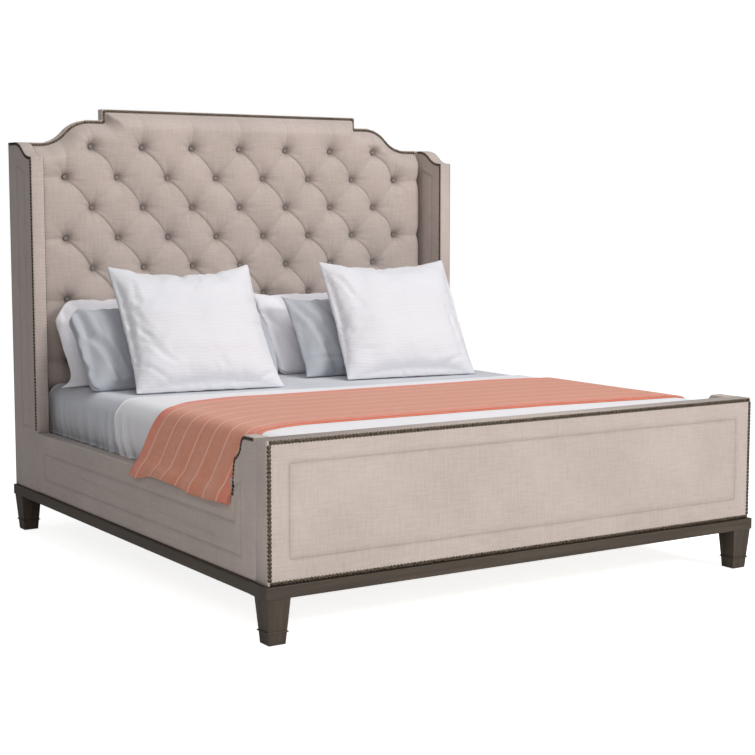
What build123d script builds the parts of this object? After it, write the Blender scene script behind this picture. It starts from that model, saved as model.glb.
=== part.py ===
from build123d import *
import math
import os

os.makedirs("parts", exist_ok=True)

# Frame: X across the bed, -Y towards the foot, +Y towards the headboard, Z up from the floor.

# Overall sizes
base_width = 2140
base_length = 2290
headboard_height = 1821
leg_height = 155

# Base frame
base_thickness = 42
base_board_width = 110
base_lip = 10
rear_lip = 5
base_edge_round = 3

# Legs
leg_top_width = 86
leg_foot_width = 61
leg_inset = 4
bead_height = 45
bead_thickness = 5
bead_proud = 4
glide_thickness = 3
glide_radius = 14
glide_pin_radius = 1.5
glide_pin_length = 14
leg_bolt_radius = 4
leg_bolt_in_leg = 45
leg_bolt_in_base = 36

# Upholstered walls
wall_thickness = 57
padding = 6
seam_width = 3
seam_depth = 2
small_round = 6

# Side rails and foot wings: the wing's crest, then a convex, a hollow and a convex curve down
rail_height = 450
foot_wing_height = 666
footboard_depth = 80
wing_depth = 263
crest_length = 78
crest_round_run = 26
crest_round_drop = 42
hollow_run = 36
hollow_drop = 36
neck_run = 13
neck_drop = 42
root_run = 13
crest_bulge = 6
hollow_bulge = 5
neck_bulge = 4
rail_panel_margin = 68
rail_panel_height = 107
rail_panel_head_margin = 84
rail_panel_foot_margin = 98
rail_panel_neck = 46
rail_panel_rise = 247
rail_panel_slope = 20

# Footboard
footboard_panel_thickness = 9
footboard_stile_width = 90
footboard_seam_margin = 79
footboard_seam_round = 18

# Headboard
step_inset = 355
step_drop = 50
shelf_width = 61
shoulder_inset = 63
shoulder_drop = 152
pad_edge_depth = 45
border_width = 16
panel_recess = 7
panel_thickness = 12
back_cloth_thickness = 2
headboard_stile_width = 60
headboard_rail_height = 70
wing_drop = 64
wing_curve_inset = 32
wing_nose = 10
wing_panel_margin = 78
wing_panel_back_margin = 57
wing_panel_low = 20
wing_panel_high = 128
wing_panel_slope = 31

# Buttoned pad
button_side_margin = 158.5
button_top_margin = 165
button_bottom_margin = 135
button_rows = 8
buttons_in_even_row = 7
pad_bottom_z = 600
pad_crown = 78
pad_side_height = 12
pad_slope_degrees = 32
pleat_depth = 26
pleat_width = 58
tuft_depth = 42
tuft_mouth_radius = 40
button_radius = 11.5
button_height = 7
fit_gap = 0.3

# Nailheads
nail_radius = 6.5
nail_rim = 1
nail_crown_radius = 3
nail_height = 3
nail_pitch = 13.3
nail_edge_distance = 8

# Centre support
beam_width = 60
plate_thickness = 4
plate_length = 100
plate_width = 50
screw_radius = 2.5
slat_screw_length = 40
plate_screw_length = 26
screw_head_radius = 4.5
screw_head_height = 2.5
centre_leg_width = 50
centre_leg_pitch = 550
centre_leg_clear = 22
foot_disc_radius = 20
foot_disc_height = 8
foot_stem_radius = 4
foot_stem_length = 60
foot_stem_clearance = 0.05
foot_travel = 12
insert_radius = 7
insert_length = 12
bore_spare = 4

# Slats
slat_count = 13
slat_width = 92
slat_thickness = 20
slat_end_clearance = 3
slat_margin = 60

# Brackets between rails and ends
bracket_thickness = 4
bracket_height = 120
bracket_arm = 60
bracket_foot = 30
bracket_lift = 36
bolt_radius = 4
bolt_length = 34
bolt_head_radius = 7.5
bolt_head_height = 4
bolt_edge = 24

# Mattress and foundation
foundation_height = 130
mattress_top_z = 640
mattress_foot_clearance = 17
mattress_head_clearance = 18
mattress_side_clearance = 43
mattress_corner = 60
mattress_round = 45
foundation_corner = 40
foundation_round = 6
soft_gap = 0.3

# Bedclothes
sheet_thickness = 2
blanket_thickness = 5
coverlet_thickness = 6
bedclothes_hem_z = 440
coverlet_head_margin = 789
blanket_head_margin = 34
throw_thickness = 7
throw_head_margin = 994
throw_width = 810
throw_hem_z = 412
throw_stand_off = 3
throw_flat_margin = 160
throw_wave = 7
throw_wave_count = 4
throw_wave_steps = 24
throw_wing_clearance = 17
throw_gather = 13
throw_turn_degrees = 30
throw_rail_clearance = 6

# Pillows: size across and up, front and back swell, how far the sides draw in, and where they stand
# as shares of the mattress's half width
square_width = 630
square_height = 630
square_swell = 110
square_back_swell = 60
square_draw = 26
blue_width_margin = 100
blue_height = 440
blue_swell = 92
blue_back_swell = 55
blue_draw = 20
white_width_margin = 70
white_height = 450
white_swell = 86
white_back_swell = 44
white_draw = 20
seam_half_thickness = 3
pillow_tilt = 37
pillow_gap = 6
square_left_share = -0.51
square_right_share = 0.512
square_turn = -7
square_turn_room = 10
blue_left_share = -0.542
blue_right_share = 0.544
white_left_share = -0.519
white_right_share = 0.494

# Values worked out from the sizes above
base_x = base_width / 2
base_y = base_length / 2
base_top_z = leg_height + base_thickness
outer_x = base_x - base_lip
front_y = -base_y + base_lip
rear_y = base_y - rear_lip
inner_x = outer_x - wall_thickness
footboard_back_y = front_y + footboard_depth
board_inner_y = base_y - base_board_width
board_inner_x = base_x - base_board_width
frame_rear_y = rear_y - back_cloth_thickness
wing_front_y = rear_y - wing_depth
pad_edge_y = rear_y - pad_edge_depth
shoulder_height = headboard_height - shoulder_drop
shoulder_half_width = inner_x - shoulder_inset
step_half_width = inner_x - step_inset
panel_front_y = pad_edge_y + panel_recess
frame_front_y = panel_front_y + panel_thickness
pad_front_y = panel_front_y - pad_side_height - pad_crown
button_pitch = 2 * (inner_x - button_side_margin) / buttons_in_even_row
button_top_row_z = headboard_height - button_top_margin
button_bottom_row_z = pad_bottom_z + button_bottom_margin
button_row_pitch = (button_top_row_z - button_bottom_row_z) / (button_rows - 1)
slat_top_z = base_top_z + slat_thickness
foundation_top_z = slat_top_z + foundation_height
wing_root_y = footboard_back_y + crest_length + crest_round_run + hollow_run + neck_run + root_run
mattress_foot_y = footboard_back_y + mattress_foot_clearance
mattress_head_y = pad_front_y - mattress_head_clearance
mattress_x = inner_x - mattress_side_clearance
sheet_top_z = mattress_top_z + sheet_thickness
blanket_top_z = sheet_top_z + blanket_thickness
coverlet_top_z = blanket_top_z + coverlet_thickness
coverlet_head_y = mattress_head_y - coverlet_head_margin
blanket_head_y = mattress_head_y - blanket_head_margin
throw_back_y = mattress_head_y - throw_head_margin
throw_front_y = throw_back_y - throw_width
throw_hem_front_y = wing_root_y + throw_wing_clearance
throw_hem_back_y = throw_hem_front_y + throw_width - throw_gather
throw_edge_x = outer_x + throw_stand_off
throw_flat_x = mattress_x - throw_flat_margin
blue_width = mattress_x - blue_width_margin
white_width = mattress_x - white_width_margin
leg_centre_x = base_x - leg_inset - leg_top_width / 2
leg_centre_y = base_y - leg_inset - leg_top_width / 2


def block(x0, x1, y0, y1, z0, z1):
    """A box between two corners."""
    box = Box(x1 - x0, y1 - y0, z1 - z0)
    return Pos((x0 + x1) / 2, (y0 + y1) / 2, (z0 + z1) / 2) * box


def other_side(shape):
    """The same piece on the other side of the bed."""
    return shape.mirror(Plane.YZ)


def side_slab(face, x0, x1):
    """A face drawn in Y and Z, made solid between two X places."""
    return Pos(x0, 0, 0) * extrude(Plane.YZ * face, amount=x1 - x0)


def front_slab(face, y0, y1):
    """A face drawn in X and Z, made solid between two Y places."""
    return Pos(0, y1, 0) * extrude(Plane.XZ * face, amount=y1 - y0)


def solids_of(shape):
    """The separate solids of a shape."""
    return list(shape.solids())


def save(name, shape):
    """Writes one piece, or a group of like pieces, as its own file."""
    pieces = []
    for item in shape if isinstance(shape, list) else [shape]:
        pieces += solids_of(item)
    whole = pieces[0] if len(pieces) == 1 else Compound(obj=pieces)
    export_step(whole, f"parts/{name}.step")


def place_copies(piece, places):
    """Copies of one solid at a list of locations."""
    solid = solids_of(piece)[0]
    return [solid.moved(place) for place in places]


def ogee(start, end):
    """Two equal arcs that leave the start level and reach the end level."""
    middle = ((start[0] + end[0]) / 2, (start[1] + end[1]) / 2)
    way = 1 if end[0] > start[0] else -1
    return [TangentArc(start, middle, tangent=(way, 0)), TangentArc(end, middle, tangent=(-way, 0))]


def path(points):
    """Straight edges through a list of points."""
    return [Line(a, b) for a, b in zip(points, points[1:])]


def inset(face, amount):
    """The same outline, drawn in on every side."""
    return offset(face, amount=-amount, kind=Kind.INTERSECTION)


def seam_groove(face):
    """A narrow ring along an outline."""
    wide = offset(face, amount=seam_width / 2, kind=Kind.INTERSECTION)
    return wide - offset(face, amount=-seam_width / 2, kind=Kind.INTERSECTION)


# Base frame

def make_base():
    front = block(-base_x, base_x, -base_y, -board_inner_y, leg_height, base_top_z)
    edges = front.edges().group_by(Axis.Y)[0].filter_by(Axis.X)
    front = fillet(edges, base_edge_round)
    bore = Cylinder(leg_bolt_radius, 2 * leg_bolt_in_base)
    bores = [Pos(x, -leg_centre_y, leg_height) * bore for x in (-leg_centre_x, leg_centre_x)]
    screws = place_copies(screw(plate_screw_length), plate_screw_places())
    front = front - bores - screws
    save("base_front", front)
    save("base_rear", front.mirror(Plane.XZ))
    side = block(board_inner_x, base_x, -board_inner_y, board_inner_y, leg_height, base_top_z)
    edges = side.edges().group_by(Axis.X)[-1].filter_by(Axis.Y)
    side = fillet(edges, base_edge_round)
    right = side - place_copies(screw(slat_screw_length), slat_screw_places())
    save("base_right", right)
    save("base_left", other_side(right))


def leg_width_at(z):
    """The leg's width at a height: it tapers evenly from its top to its foot."""
    rise = (z - glide_thickness) / (leg_height - glide_thickness)
    return leg_foot_width + (leg_top_width - leg_foot_width) * rise


def make_legs():
    sections = [Pos(0, 0, glide_thickness) * Rectangle(leg_foot_width, leg_foot_width),
                Pos(0, 0, leg_height) * Rectangle(leg_top_width, leg_top_width)]
    leg = loft(sections, ruled=True)
    bead_width = leg_width_at(bead_height) + 2 * bead_proud
    bead = Pos(0, 0, bead_height) * Box(bead_width, bead_width, bead_thickness)
    bead = fillet(bead.edges().filter_by(Axis.Z, reverse=True), 2 * bead_thickness / 5)
    leg += bead
    leg -= Pos(0, 0, leg_height) * Cylinder(leg_bolt_radius, 2 * leg_bolt_in_leg)
    leg -= Pos(0, 0, glide_thickness) * Cylinder(glide_pin_radius, 2 * glide_pin_length)
    names = {"front_left": (-1, -1), "front_right": (1, -1), "rear_left": (-1, 1), "rear_right": (1, 1)}
    places = {name: Pos(sx * leg_centre_x, sy * leg_centre_y, 0) for name, (sx, sy) in names.items()}
    for name, place in places.items():
        save("leg_" + name, place * leg)
    middle = leg_height + (leg_bolt_in_base - leg_bolt_in_leg) / 2
    hanger = Pos(0, 0, middle) * Cylinder(leg_bolt_radius, leg_bolt_in_leg + leg_bolt_in_base)
    save("leg_bolts", place_copies(hanger, places.values()))
    glide = Pos(0, 0, glide_thickness / 2) * Cylinder(glide_radius, glide_thickness)
    glide += Pos(0, 0, (glide_thickness + glide_pin_length) / 2) * Cylinder(
        glide_pin_radius, glide_thickness + glide_pin_length)
    save("leg_glides", place_copies(glide, places.values()))


# Slats and centre support

def slat_places():
    """Evenly spaced centres of the slats along the bed."""
    first = -board_inner_y + slat_margin
    step = 2 * -first / (slat_count - 1)
    return [first + step * i for i in range(slat_count)]


def slat_screw_places():
    """Where each slat is screwed down to the right-hand base board."""
    middle = (board_inner_x + inner_x) / 2
    return [Pos(middle, y, slat_top_z) for y in slat_places()]


def screw(length):
    """A flat-headed screw whose head is flush with the top it is driven into."""
    shank = Pos(0, 0, -length / 2) * Cylinder(screw_radius, length)
    head = Pos(0, 0, -screw_head_height / 2) * Cone(screw_radius, screw_head_radius, screw_head_height)
    return shank + head


def make_slats():
    half = inner_x - slat_end_clearance
    right = place_copies(screw(slat_screw_length), slat_screw_places())
    left = [other_side(item) for item in right]
    slats = []
    for y, near, far in zip(slat_places(), right, left):
        slat = block(-half, half, y - slat_width / 2, y + slat_width / 2, base_top_z, slat_top_z)
        slats.append(slat - near - far)
    save("slats", slats)
    save("slat_screws", right + left)


def plate_screw_places():
    """Screws up through the two plates under the ends of the centre beam."""
    places = []
    for end in (-board_inner_y, board_inner_y):
        for x in (-plate_width / 4, plate_width / 4):
            for y in (-plate_length / 3, plate_length / 3):
                bottom = leg_height - plate_thickness
                places.append(Location((x, end + y, bottom), (180, 0, 0)))
    return places


def centre_leg_places():
    return [-centre_leg_pitch, 0, centre_leg_pitch]


def make_centre_support():
    screws = place_copies(screw(plate_screw_length), plate_screw_places())
    half = beam_width / 2
    beam = block(-half, half, -board_inner_y, board_inner_y, leg_height, base_top_z)
    save("centre_beam", beam - screws)
    plates = []
    for end in (-board_inner_y, board_inner_y):
        plate = block(-plate_width / 2, plate_width / 2, end - plate_length / 2, end + plate_length / 2,
                      leg_height - plate_thickness, leg_height)
        plates.append(plate - screws)
    save("beam_plates", plates)
    save("beam_screws", screws)
    half = centre_leg_width / 2
    post = block(-half, half, -half, half, centre_leg_clear, leg_height)
    bore_radius = foot_stem_radius + foot_stem_clearance
    bore_top = foot_disc_height + foot_stem_length + foot_travel + bore_spare
    bore = Pos(0, 0, bore_top / 2) * Cylinder(bore_radius, bore_top)
    insert = Pos(0, 0, centre_leg_clear + insert_length / 2) * Cylinder(insert_radius, insert_length)
    post = post - bore - insert
    insert = insert - bore
    foot = Pos(0, 0, foot_disc_height / 2) * Cylinder(foot_disc_radius, foot_disc_height)
    foot = fillet(foot.edges().group_by(Axis.Z)[-1], foot_disc_height / 4)
    foot += Pos(0, 0, foot_disc_height + foot_stem_length / 2) * Cylinder(
        foot_stem_radius, foot_stem_length)
    places = [Pos(0, y, 0) for y in centre_leg_places()]
    save("centre_legs", place_copies(post, places))
    save("threaded_inserts", place_copies(insert, places))
    for name, place in zip(("front", "middle", "rear"), places):
        save("levelling_foot_" + name, place * foot)


# Side rails with their low foot wings

def rail_outline():
    """The side rail seen from the side, in Y and Z, with its foot end raised as a low wing."""
    crest = (footboard_back_y + crest_length, foot_wing_height)
    hollow = (crest[0] + crest_round_run, crest[1] - crest_round_drop)
    shelf = (hollow[0] + hollow_run, hollow[1] - hollow_drop)
    neck = (shelf[0] + neck_run, shelf[1] - neck_drop)
    root = (wing_root_y, rail_height)
    edges = path([(wing_front_y, base_top_z), (wing_front_y, rail_height), root, neck])
    edges.append(bowed(neck, shelf, neck_bulge))
    edges.append(bowed(shelf, hollow, -hollow_bulge))
    edges.append(bowed(hollow, crest, crest_bulge))
    edges += path([crest, (footboard_back_y, foot_wing_height), (footboard_back_y, base_top_z),
                   (wing_front_y, base_top_z)])
    return make_face(edges)


def bowed(start, end, bulge):
    """An arc that stands out from the straight line between its ends, to the right of its way."""
    run, rise = end[0] - start[0], end[1] - start[1]
    length = math.hypot(run, rise)
    middle = ((start[0] + end[0]) / 2 + bulge * rise / length,
              (start[1] + end[1]) / 2 - bulge * run / length)
    return ThreePointArc(start, middle, end)


def rail_panel_outline():
    """The sewn panel on the rail's outer face, which turns up at the foot end."""
    low = base_top_z + rail_panel_margin
    high = low + rail_panel_height
    front = footboard_back_y + rail_panel_foot_margin
    neck = front + rail_panel_neck
    head = wing_front_y - rail_panel_head_margin
    top = low + rail_panel_rise
    return make_face(path([(head, low), (front, low), (front, top), (neck, top - rail_panel_slope),
                           (neck, high), (head, high), (head, low)]))


def wall_core(outline, open_z, open_ends):
    """A wall's wooden core: its outline less the padding, but full to the base and to open ends."""
    x0, x1 = inner_x + padding, outer_x - padding
    core = side_slab(inset(outline, padding), x0, x1)
    box = outline.bounding_box()
    reach = 2 * padding
    core += block(x0, x1, max(box.min.X, open_ends[0][0]), min(box.max.X, open_ends[-1][1]),
                  open_z, open_z + reach)
    for low_y, high_y, high_z in open_ends:
        core += block(x0, x1, low_y, high_y, open_z, high_z)
    return core


def make_rails():
    outline = rail_outline()
    full = side_slab(outline, inner_x, outer_x)
    ends = [(footboard_back_y, footboard_back_y + 2 * padding, foot_wing_height - padding),
            (wing_front_y - 2 * padding, wing_front_y, rail_height - padding)]
    core = wall_core(outline, base_top_z, ends)
    cover = full - core
    cover -= side_slab(seam_groove(rail_panel_outline()), outer_x - seam_depth, outer_x + seam_depth)
    bolts = bolt_holes()
    core -= bolts
    cover -= bolts
    save("rail_core_right", core)
    save("rail_core_left", other_side(core))
    save("rail_cover_right", cover)
    save("rail_cover_left", other_side(cover))


# Footboard

def make_footboard():
    top = foot_wing_height
    outer = block(-outer_x, outer_x, front_y, footboard_back_y, base_top_z, top)
    outer = fillet(outer.edges().filter_by(Axis.Z), small_round)
    core_x = outer_x - padding
    core_front = front_y + padding
    core_back = footboard_back_y - padding
    core_top = top - padding
    hollow = block(-core_x, core_x, core_front, core_back, base_top_z, core_top)
    cover = outer - hollow
    height = top - base_top_z
    seam = RectangleRounded(2 * (outer_x - footboard_seam_margin), height - 2 * footboard_seam_margin,
                            footboard_seam_round)
    seam = Pos(0, base_top_z + height / 2) * seam
    cover -= front_slab(seam_groove(seam), front_y - seam_depth, front_y + seam_depth)
    bolts = bolt_holes() + [other_side(hole) for hole in bolt_holes()]
    cover -= bolts
    panel = footboard_panel_thickness
    save("footboard_cover", cover)
    face = block(-core_x, core_x, core_front, core_front + panel, base_top_z, core_top)
    save("footboard_front_panel", face)
    back = block(-core_x, core_x, core_back - panel, core_back, base_top_z, core_top)
    save("footboard_back_panel", back - bolts)
    frame_y = (core_front + panel, core_back - panel)
    stile = footboard_stile_width
    centres = [-core_x + stile / 2, 0, core_x - stile / 2]
    uprights = [block(x - stile / 2, x + stile / 2, *frame_y, base_top_z, core_top) for x in centres]
    cross = []
    for left, right in zip(centres, centres[1:]):
        for z in (base_top_z, core_top - stile):
            cross.append(block(left + stile / 2, right - stile / 2, *frame_y, z, z + stile))
    save("footboard_uprights", [piece - bolts for piece in uprights])
    save("footboard_cross_rails", cross)


# Brackets and bolts

def bolt_rows():
    """Heights of the two bolts in each bracket arm."""
    low = slat_top_z + bracket_lift
    return [low + bolt_edge, low + bracket_height - bolt_edge]


def bolt_places():
    """The right-hand bolts: into the rail and the footboard at the foot, rail and wing at the head."""
    places = []
    face = inner_x - bracket_thickness
    for z in bolt_rows():
        places.append(Location((face, footboard_back_y + bracket_arm - bolt_edge, z), (0, 90, 0)))
        places.append(Location((inner_x - bracket_foot + bolt_edge / 2,
                                footboard_back_y + bracket_thickness, z), (90, 0, 0)))
        for way in (-1, 1):
            places.append(Location((face, wing_front_y + way * (bracket_arm - bolt_edge), z), (0, 90, 0)))
    return places


def bolt():
    """A round-headed bolt: its head stands on the bracket and its shank goes along +Z."""
    head = Pos(0, 0, -bolt_head_height / 2) * Cylinder(bolt_head_radius, bolt_head_height)
    head = fillet(head.edges().group_by(Axis.Z)[0], bolt_head_height / 3)
    return head + Pos(0, 0, bolt_length / 2) * Cylinder(bolt_radius, bolt_length)


def bolt_holes():
    """Bores for the right-hand bolts."""
    bore = Pos(0, 0, bolt_length / 2) * Cylinder(bolt_radius, bolt_length)
    return place_copies(bore, bolt_places())


def make_brackets():
    low = slat_top_z + bracket_lift
    high = low + bracket_height
    face = inner_x - bracket_thickness
    arm = block(face, inner_x, footboard_back_y, footboard_back_y + bracket_arm, low, high)
    foot = block(inner_x - bracket_foot, inner_x, footboard_back_y,
                 footboard_back_y + bracket_thickness, low, high)
    holes = bolt_holes()
    bracket = arm + foot - holes
    plate = block(face, inner_x, wing_front_y - bracket_arm, wing_front_y + bracket_arm, low, high) - holes
    save("foot_brackets", [bracket, other_side(bracket)])
    save("head_plates", [plate, other_side(plate)])
    right = place_copies(bolt(), bolt_places())
    save("bracket_bolts", right + [other_side(item) for item in right])


# Headboard

def headboard_outline(half_width):
    """The headboard seen from the front, in X and Z: a raised middle, a shelf and an ogee each side."""
    top = headboard_height
    shelf_z = top - step_drop
    shelf_end = step_half_width + shelf_width
    edges = []
    for side in (-1, 1):
        points = [(side * half_width, base_top_z), (side * half_width, shoulder_height),
                  (side * shoulder_half_width, shoulder_height)]
        edges += path(points)
        edges += ogee((side * shelf_end, shelf_z), (side * shoulder_half_width, shoulder_height))
        edges += path([(side * shelf_end, shelf_z), (side * step_half_width, shelf_z),
                       (side * step_half_width, top)])
    edges += path([(-step_half_width, top), (step_half_width, top)])
    edges += path([(-half_width, base_top_z), (half_width, base_top_z)])
    return make_face(edges)


def below_border():
    """The headboard's front inside its border, which runs along the top and down to the base."""
    wide = headboard_outline(inner_x + border_width)
    inner = inset(wide, border_width)
    foot = Pos(0, base_top_z + border_width / 2) * Rectangle(2 * inner_x, border_width)
    return make_face((inner + foot).wires()[0])


def button_places():
    """Button centres in X and Z: rows of seven and eight, set half a pitch apart."""
    places = []
    for row in range(button_rows):
        count = buttons_in_even_row + row % 2
        z = button_top_row_z - row * button_row_pitch
        for column in range(count):
            places.append((row, (column - (count - 1) / 2) * button_pitch, z))
    return places


def pleat(start, end):
    """A V-shaped valley between two places on the pad's front."""
    length = math.dist(start, end)
    angle = math.degrees(math.atan2(end[1] - start[1], end[0] - start[0]))
    half = pleat_width * (pleat_depth + fit_gap) / pleat_depth / 2
    valley = make_face(path([(-half, -fit_gap), (0, pleat_depth), (half, -fit_gap), (-half, -fit_gap)]))
    prism = Rot(-90, 0, 0) * extrude(Plane.YZ * valley, amount=length)
    return Pos(start[0], pad_front_y, start[1]) * Rot(0, -angle, 0) * prism


def pleat_lines():
    """Where the pad is folded: diagonals from button to button, then out to the pad's edges."""
    places = button_places()
    lines = []
    half = button_pitch / 2
    known = {(round(x), round(z)) for _, x, z in places}
    for _, x, z in places:
        for way in (-1, 1):
            if (round(x - way * half), round(z + button_row_pitch)) in known:
                continue
            end = (x, z)
            while (round(end[0] + way * half), round(end[1] - button_row_pitch)) in known:
                end = (end[0] + way * half, end[1] - button_row_pitch)
            if end != (x, z):
                lines.append(((x, z), end))
    edge_x = buttons_in_even_row * half
    for row, x, z in places:
        outermost = abs(abs(x) - edge_x) < nail_rim
        if row == 0 or (row == 1 and outermost):
            lines.append(((x, z), (x, headboard_height)))
        if row == button_rows - 1:
            lines.append(((x, z), (x, pad_bottom_z)))
        if outermost:
            lines.append(((x, z), (math.copysign(inner_x, x), z)))
    return lines


def make_pad():
    face = below_border()
    keep = Pos(0, pad_bottom_z + headboard_height / 2) * Rectangle(2 * base_x, headboard_height)
    face = make_face((inset(face, fit_gap) & keep).wires()[0])
    slope_y = panel_front_y - pad_side_height
    slab = front_slab(face, slope_y, panel_front_y)
    crown = extrude(Plane.XZ * face, amount=slope_y - pad_front_y, taper=pad_slope_degrees)
    pad = slab + Pos(0, slope_y, 0) * crown
    pad -= [pleat(start, end) for start, end in pleat_lines()]
    tuft = Cone(button_radius, tuft_mouth_radius, tuft_depth)
    tufts = [Pos(x, pad_front_y + tuft_depth / 2, z) * Rot(90, 0, 0) * tuft
             for _, x, z in button_places()]
    pad -= tufts
    save("headboard_pad", pad)
    button = Pos(0, 0, button_height / 2) * Cylinder(button_radius - fit_gap, button_height)
    button = fillet(button.edges().group_by(Axis.Z)[-1], button_height / 2)
    seat_y = pad_front_y + tuft_depth
    places = [Location((x, seat_y, z), (90, 0, 0)) for _, x, z in button_places()]
    save("headboard_buttons", place_copies(button, places))


def make_headboard():
    inner = below_border()
    panel = front_slab(inner, panel_front_y, frame_front_y)
    save("headboard_panel", panel)
    outline = headboard_outline(inner_x)
    border = front_slab(outline, pad_edge_y, frame_rear_y) - front_slab(inner, pad_edge_y, frame_rear_y)
    save("headboard_border", border)
    stile = headboard_stile_width
    inner_top = headboard_height - border_width
    outer_top = shoulder_height - border_width
    outer_stile = inner_x - stile / 2
    inner_stile = step_half_width - border_width - stile / 2
    y0, y1 = frame_front_y, frame_rear_y
    stiles = []
    for x, top in ((outer_stile, outer_top), (inner_stile, inner_top)):
        for way in (-1, 1):
            stiles.append(block(way * x - stile / 2, way * x + stile / 2, y0, y1, base_top_z, top))
    save("headboard_stiles", stiles)
    gaps = [(-outer_stile, -inner_stile), (-inner_stile, inner_stile), (inner_stile, outer_stile)]
    middle_z = (base_top_z + headboard_height) / 2
    rails = []
    for index, (left, right) in enumerate(gaps):
        top = inner_top if index == 1 else outer_top
        for z in (base_top_z, middle_z, top - headboard_rail_height):
            rails.append(block(left + stile / 2, right - stile / 2, y0, y1, z, z + headboard_rail_height))
    save("headboard_cross_rails", rails)
    cloth = headboard_outline(outer_x)
    save("headboard_back_cloth", front_slab(cloth, frame_rear_y, rear_y))


def wing_top_edges():
    """The wing's top edge in Y and Z: level at the rear, an ogee down to the front corner."""
    wing_front_z = shoulder_height - wing_drop
    rear_end = pad_edge_y - wing_curve_inset
    front_end = wing_front_y + wing_nose
    edges = path([(frame_rear_y, shoulder_height), (rear_end, shoulder_height)])
    edges += ogee((rear_end, shoulder_height), (front_end, wing_front_z))
    edges += path([(front_end, wing_front_z), (wing_front_y, wing_front_z)])
    return edges


def wing_outline():
    wing_front_z = shoulder_height - wing_drop
    edges = wing_top_edges()
    edges += path([(wing_front_y, wing_front_z), (wing_front_y, base_top_z),
                   (frame_rear_y, base_top_z), (frame_rear_y, shoulder_height)])
    return make_face(edges)


def wing_panel_outline():
    """The sewn panel on a wing's face."""
    front = wing_front_y + wing_panel_margin
    back = pad_edge_y - wing_panel_back_margin
    low = rail_height + wing_panel_low
    high = shoulder_height - wing_panel_high
    return make_face(path([(front, low), (back, low), (back, high + wing_panel_slope), (front, high),
                           (front, low)]))


def make_wings():
    outline = wing_outline()
    full = side_slab(outline, inner_x, outer_x)
    ends = [(wing_front_y + padding, wing_front_y + 2 * padding, shoulder_height - wing_drop - padding),
            (frame_rear_y - 2 * padding, frame_rear_y, shoulder_height - padding)]
    core = wall_core(outline, base_top_z, ends)
    cover = full - core
    for face in (inner_x, outer_x):
        cover -= side_slab(seam_groove(wing_panel_outline()), face - seam_depth, face + seam_depth)
    bolts = bolt_holes()
    core -= bolts
    cover -= bolts
    save("wing_core_right", core)
    save("wing_core_left", other_side(core))
    save("wing_cover_right", cover)
    save("wing_cover_left", other_side(cover))


# Nailheads

def nailhead():
    """A low domed head that stands on a cover along +Z."""
    rim = Pos(0, 0, nail_rim / 2) * Cylinder(nail_radius, nail_rim)
    crown_height = nail_height - nail_rim
    crown = Pos(0, 0, nail_rim + crown_height / 2) * Cone(nail_radius, nail_crown_radius, crown_height)
    return rim + crown


def along(edges):
    """Evenly pitched places along a chain of edges."""
    wire = Wire(edges) if isinstance(edges, list) else edges
    count = round(wire.length / nail_pitch)
    return [wire @ ((i + 0.5) / count) for i in range(count)]


def front_nails(points, y):
    """Nails that face the foot of the bed, at places given in X and Z."""
    places = [Location((p.X, y, p.Y), (90, 0, 0)) for p in points]
    return place_copies(nailhead(), places)


def side_nails(points, x, way):
    """Nails that face sideways, at places given in Y and Z."""
    places = [Location((x, p.X, p.Y), (0, 90 * way, 0)) for p in points]
    return place_copies(nailhead(), places)


def open_run(face, keep):
    """The part of an inset outline whose edges pass a test."""
    edges = [edge for edge in face.edges() if keep(edge @ 0.5)]
    return Wire(edges)


def make_nails():
    step = nail_edge_distance
    near_base = base_top_z + 3 * step
    wide = inset(headboard_outline(inner_x + 2 * step), step)
    top = open_run(wide, lambda p: p.Y > shoulder_height - 2 * step and abs(p.X) < inner_x)
    points = [p for p in along(top) if abs(p.X) < inner_x - nail_radius]
    save("headboard_nails", front_nails(points, pad_edge_y))
    line = inset(wing_outline(), step)
    run = open_run(line, lambda p: p.Y > near_base and p.X < frame_rear_y - 2 * step)
    outside = [p for p in along(run) if p.Y > rail_height + step and p.X < frame_rear_y - step]
    inside = [p for p in outside if p.X < pad_edge_y - 2 * step]
    right = side_nails(outside, outer_x, 1) + side_nails(inside, inner_x, -1)
    save("wing_nails", right + [other_side(item) for item in right])
    line = inset(rail_outline(), step)
    run = open_run(line, lambda p: p.Y > rail_height + step)
    points = [p for p in along(run) if p.Y > rail_height and p.X > footboard_back_y + step]
    right = side_nails(points, outer_x, 1)
    save("rail_nails", right + [other_side(item) for item in right])
    high = foot_wing_height - step
    low = base_top_z + step
    edge = outer_x - step
    rows = [p for z in (low, high) for p in along(path([(-edge, z), (edge, z)]))]
    for x in (-edge, edge):
        rows += along(path([(x, low + nail_pitch / 2), (x, high - nail_pitch / 2)]))
    save("footboard_nails", front_nails(rows, front_y))


# Mattress, foundation and bedclothes

def soft_block(half_x, foot_y, head_y, low, high, corner, top_round):
    """A block with rounded upright corners and a rounded top edge."""
    shape = block(-half_x, half_x, foot_y, head_y, low, high)
    shape = fillet(shape.edges().filter_by(Axis.Z), corner)
    return fillet(shape.edges().group_by(Axis.Z)[-1], top_round)


def cap(inner_grow, outer_grow, head_y):
    """A cloth layer over the mattress, open below and cut off at a line across the bed."""
    layers = []
    for grow, extra in ((outer_grow, 0), (inner_grow, 2 * soft_gap)):
        low = bedclothes_hem_z - extra
        layers.append(soft_block(mattress_x + grow, mattress_foot_y - grow, mattress_head_y + grow, low,
                                 mattress_top_z + grow, mattress_corner + grow, mattress_round + grow))
    shell = layers[0] - layers[1]
    cut = block(-base_x, base_x, head_y, base_length, 0, headboard_height)
    return shell - cut


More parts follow.
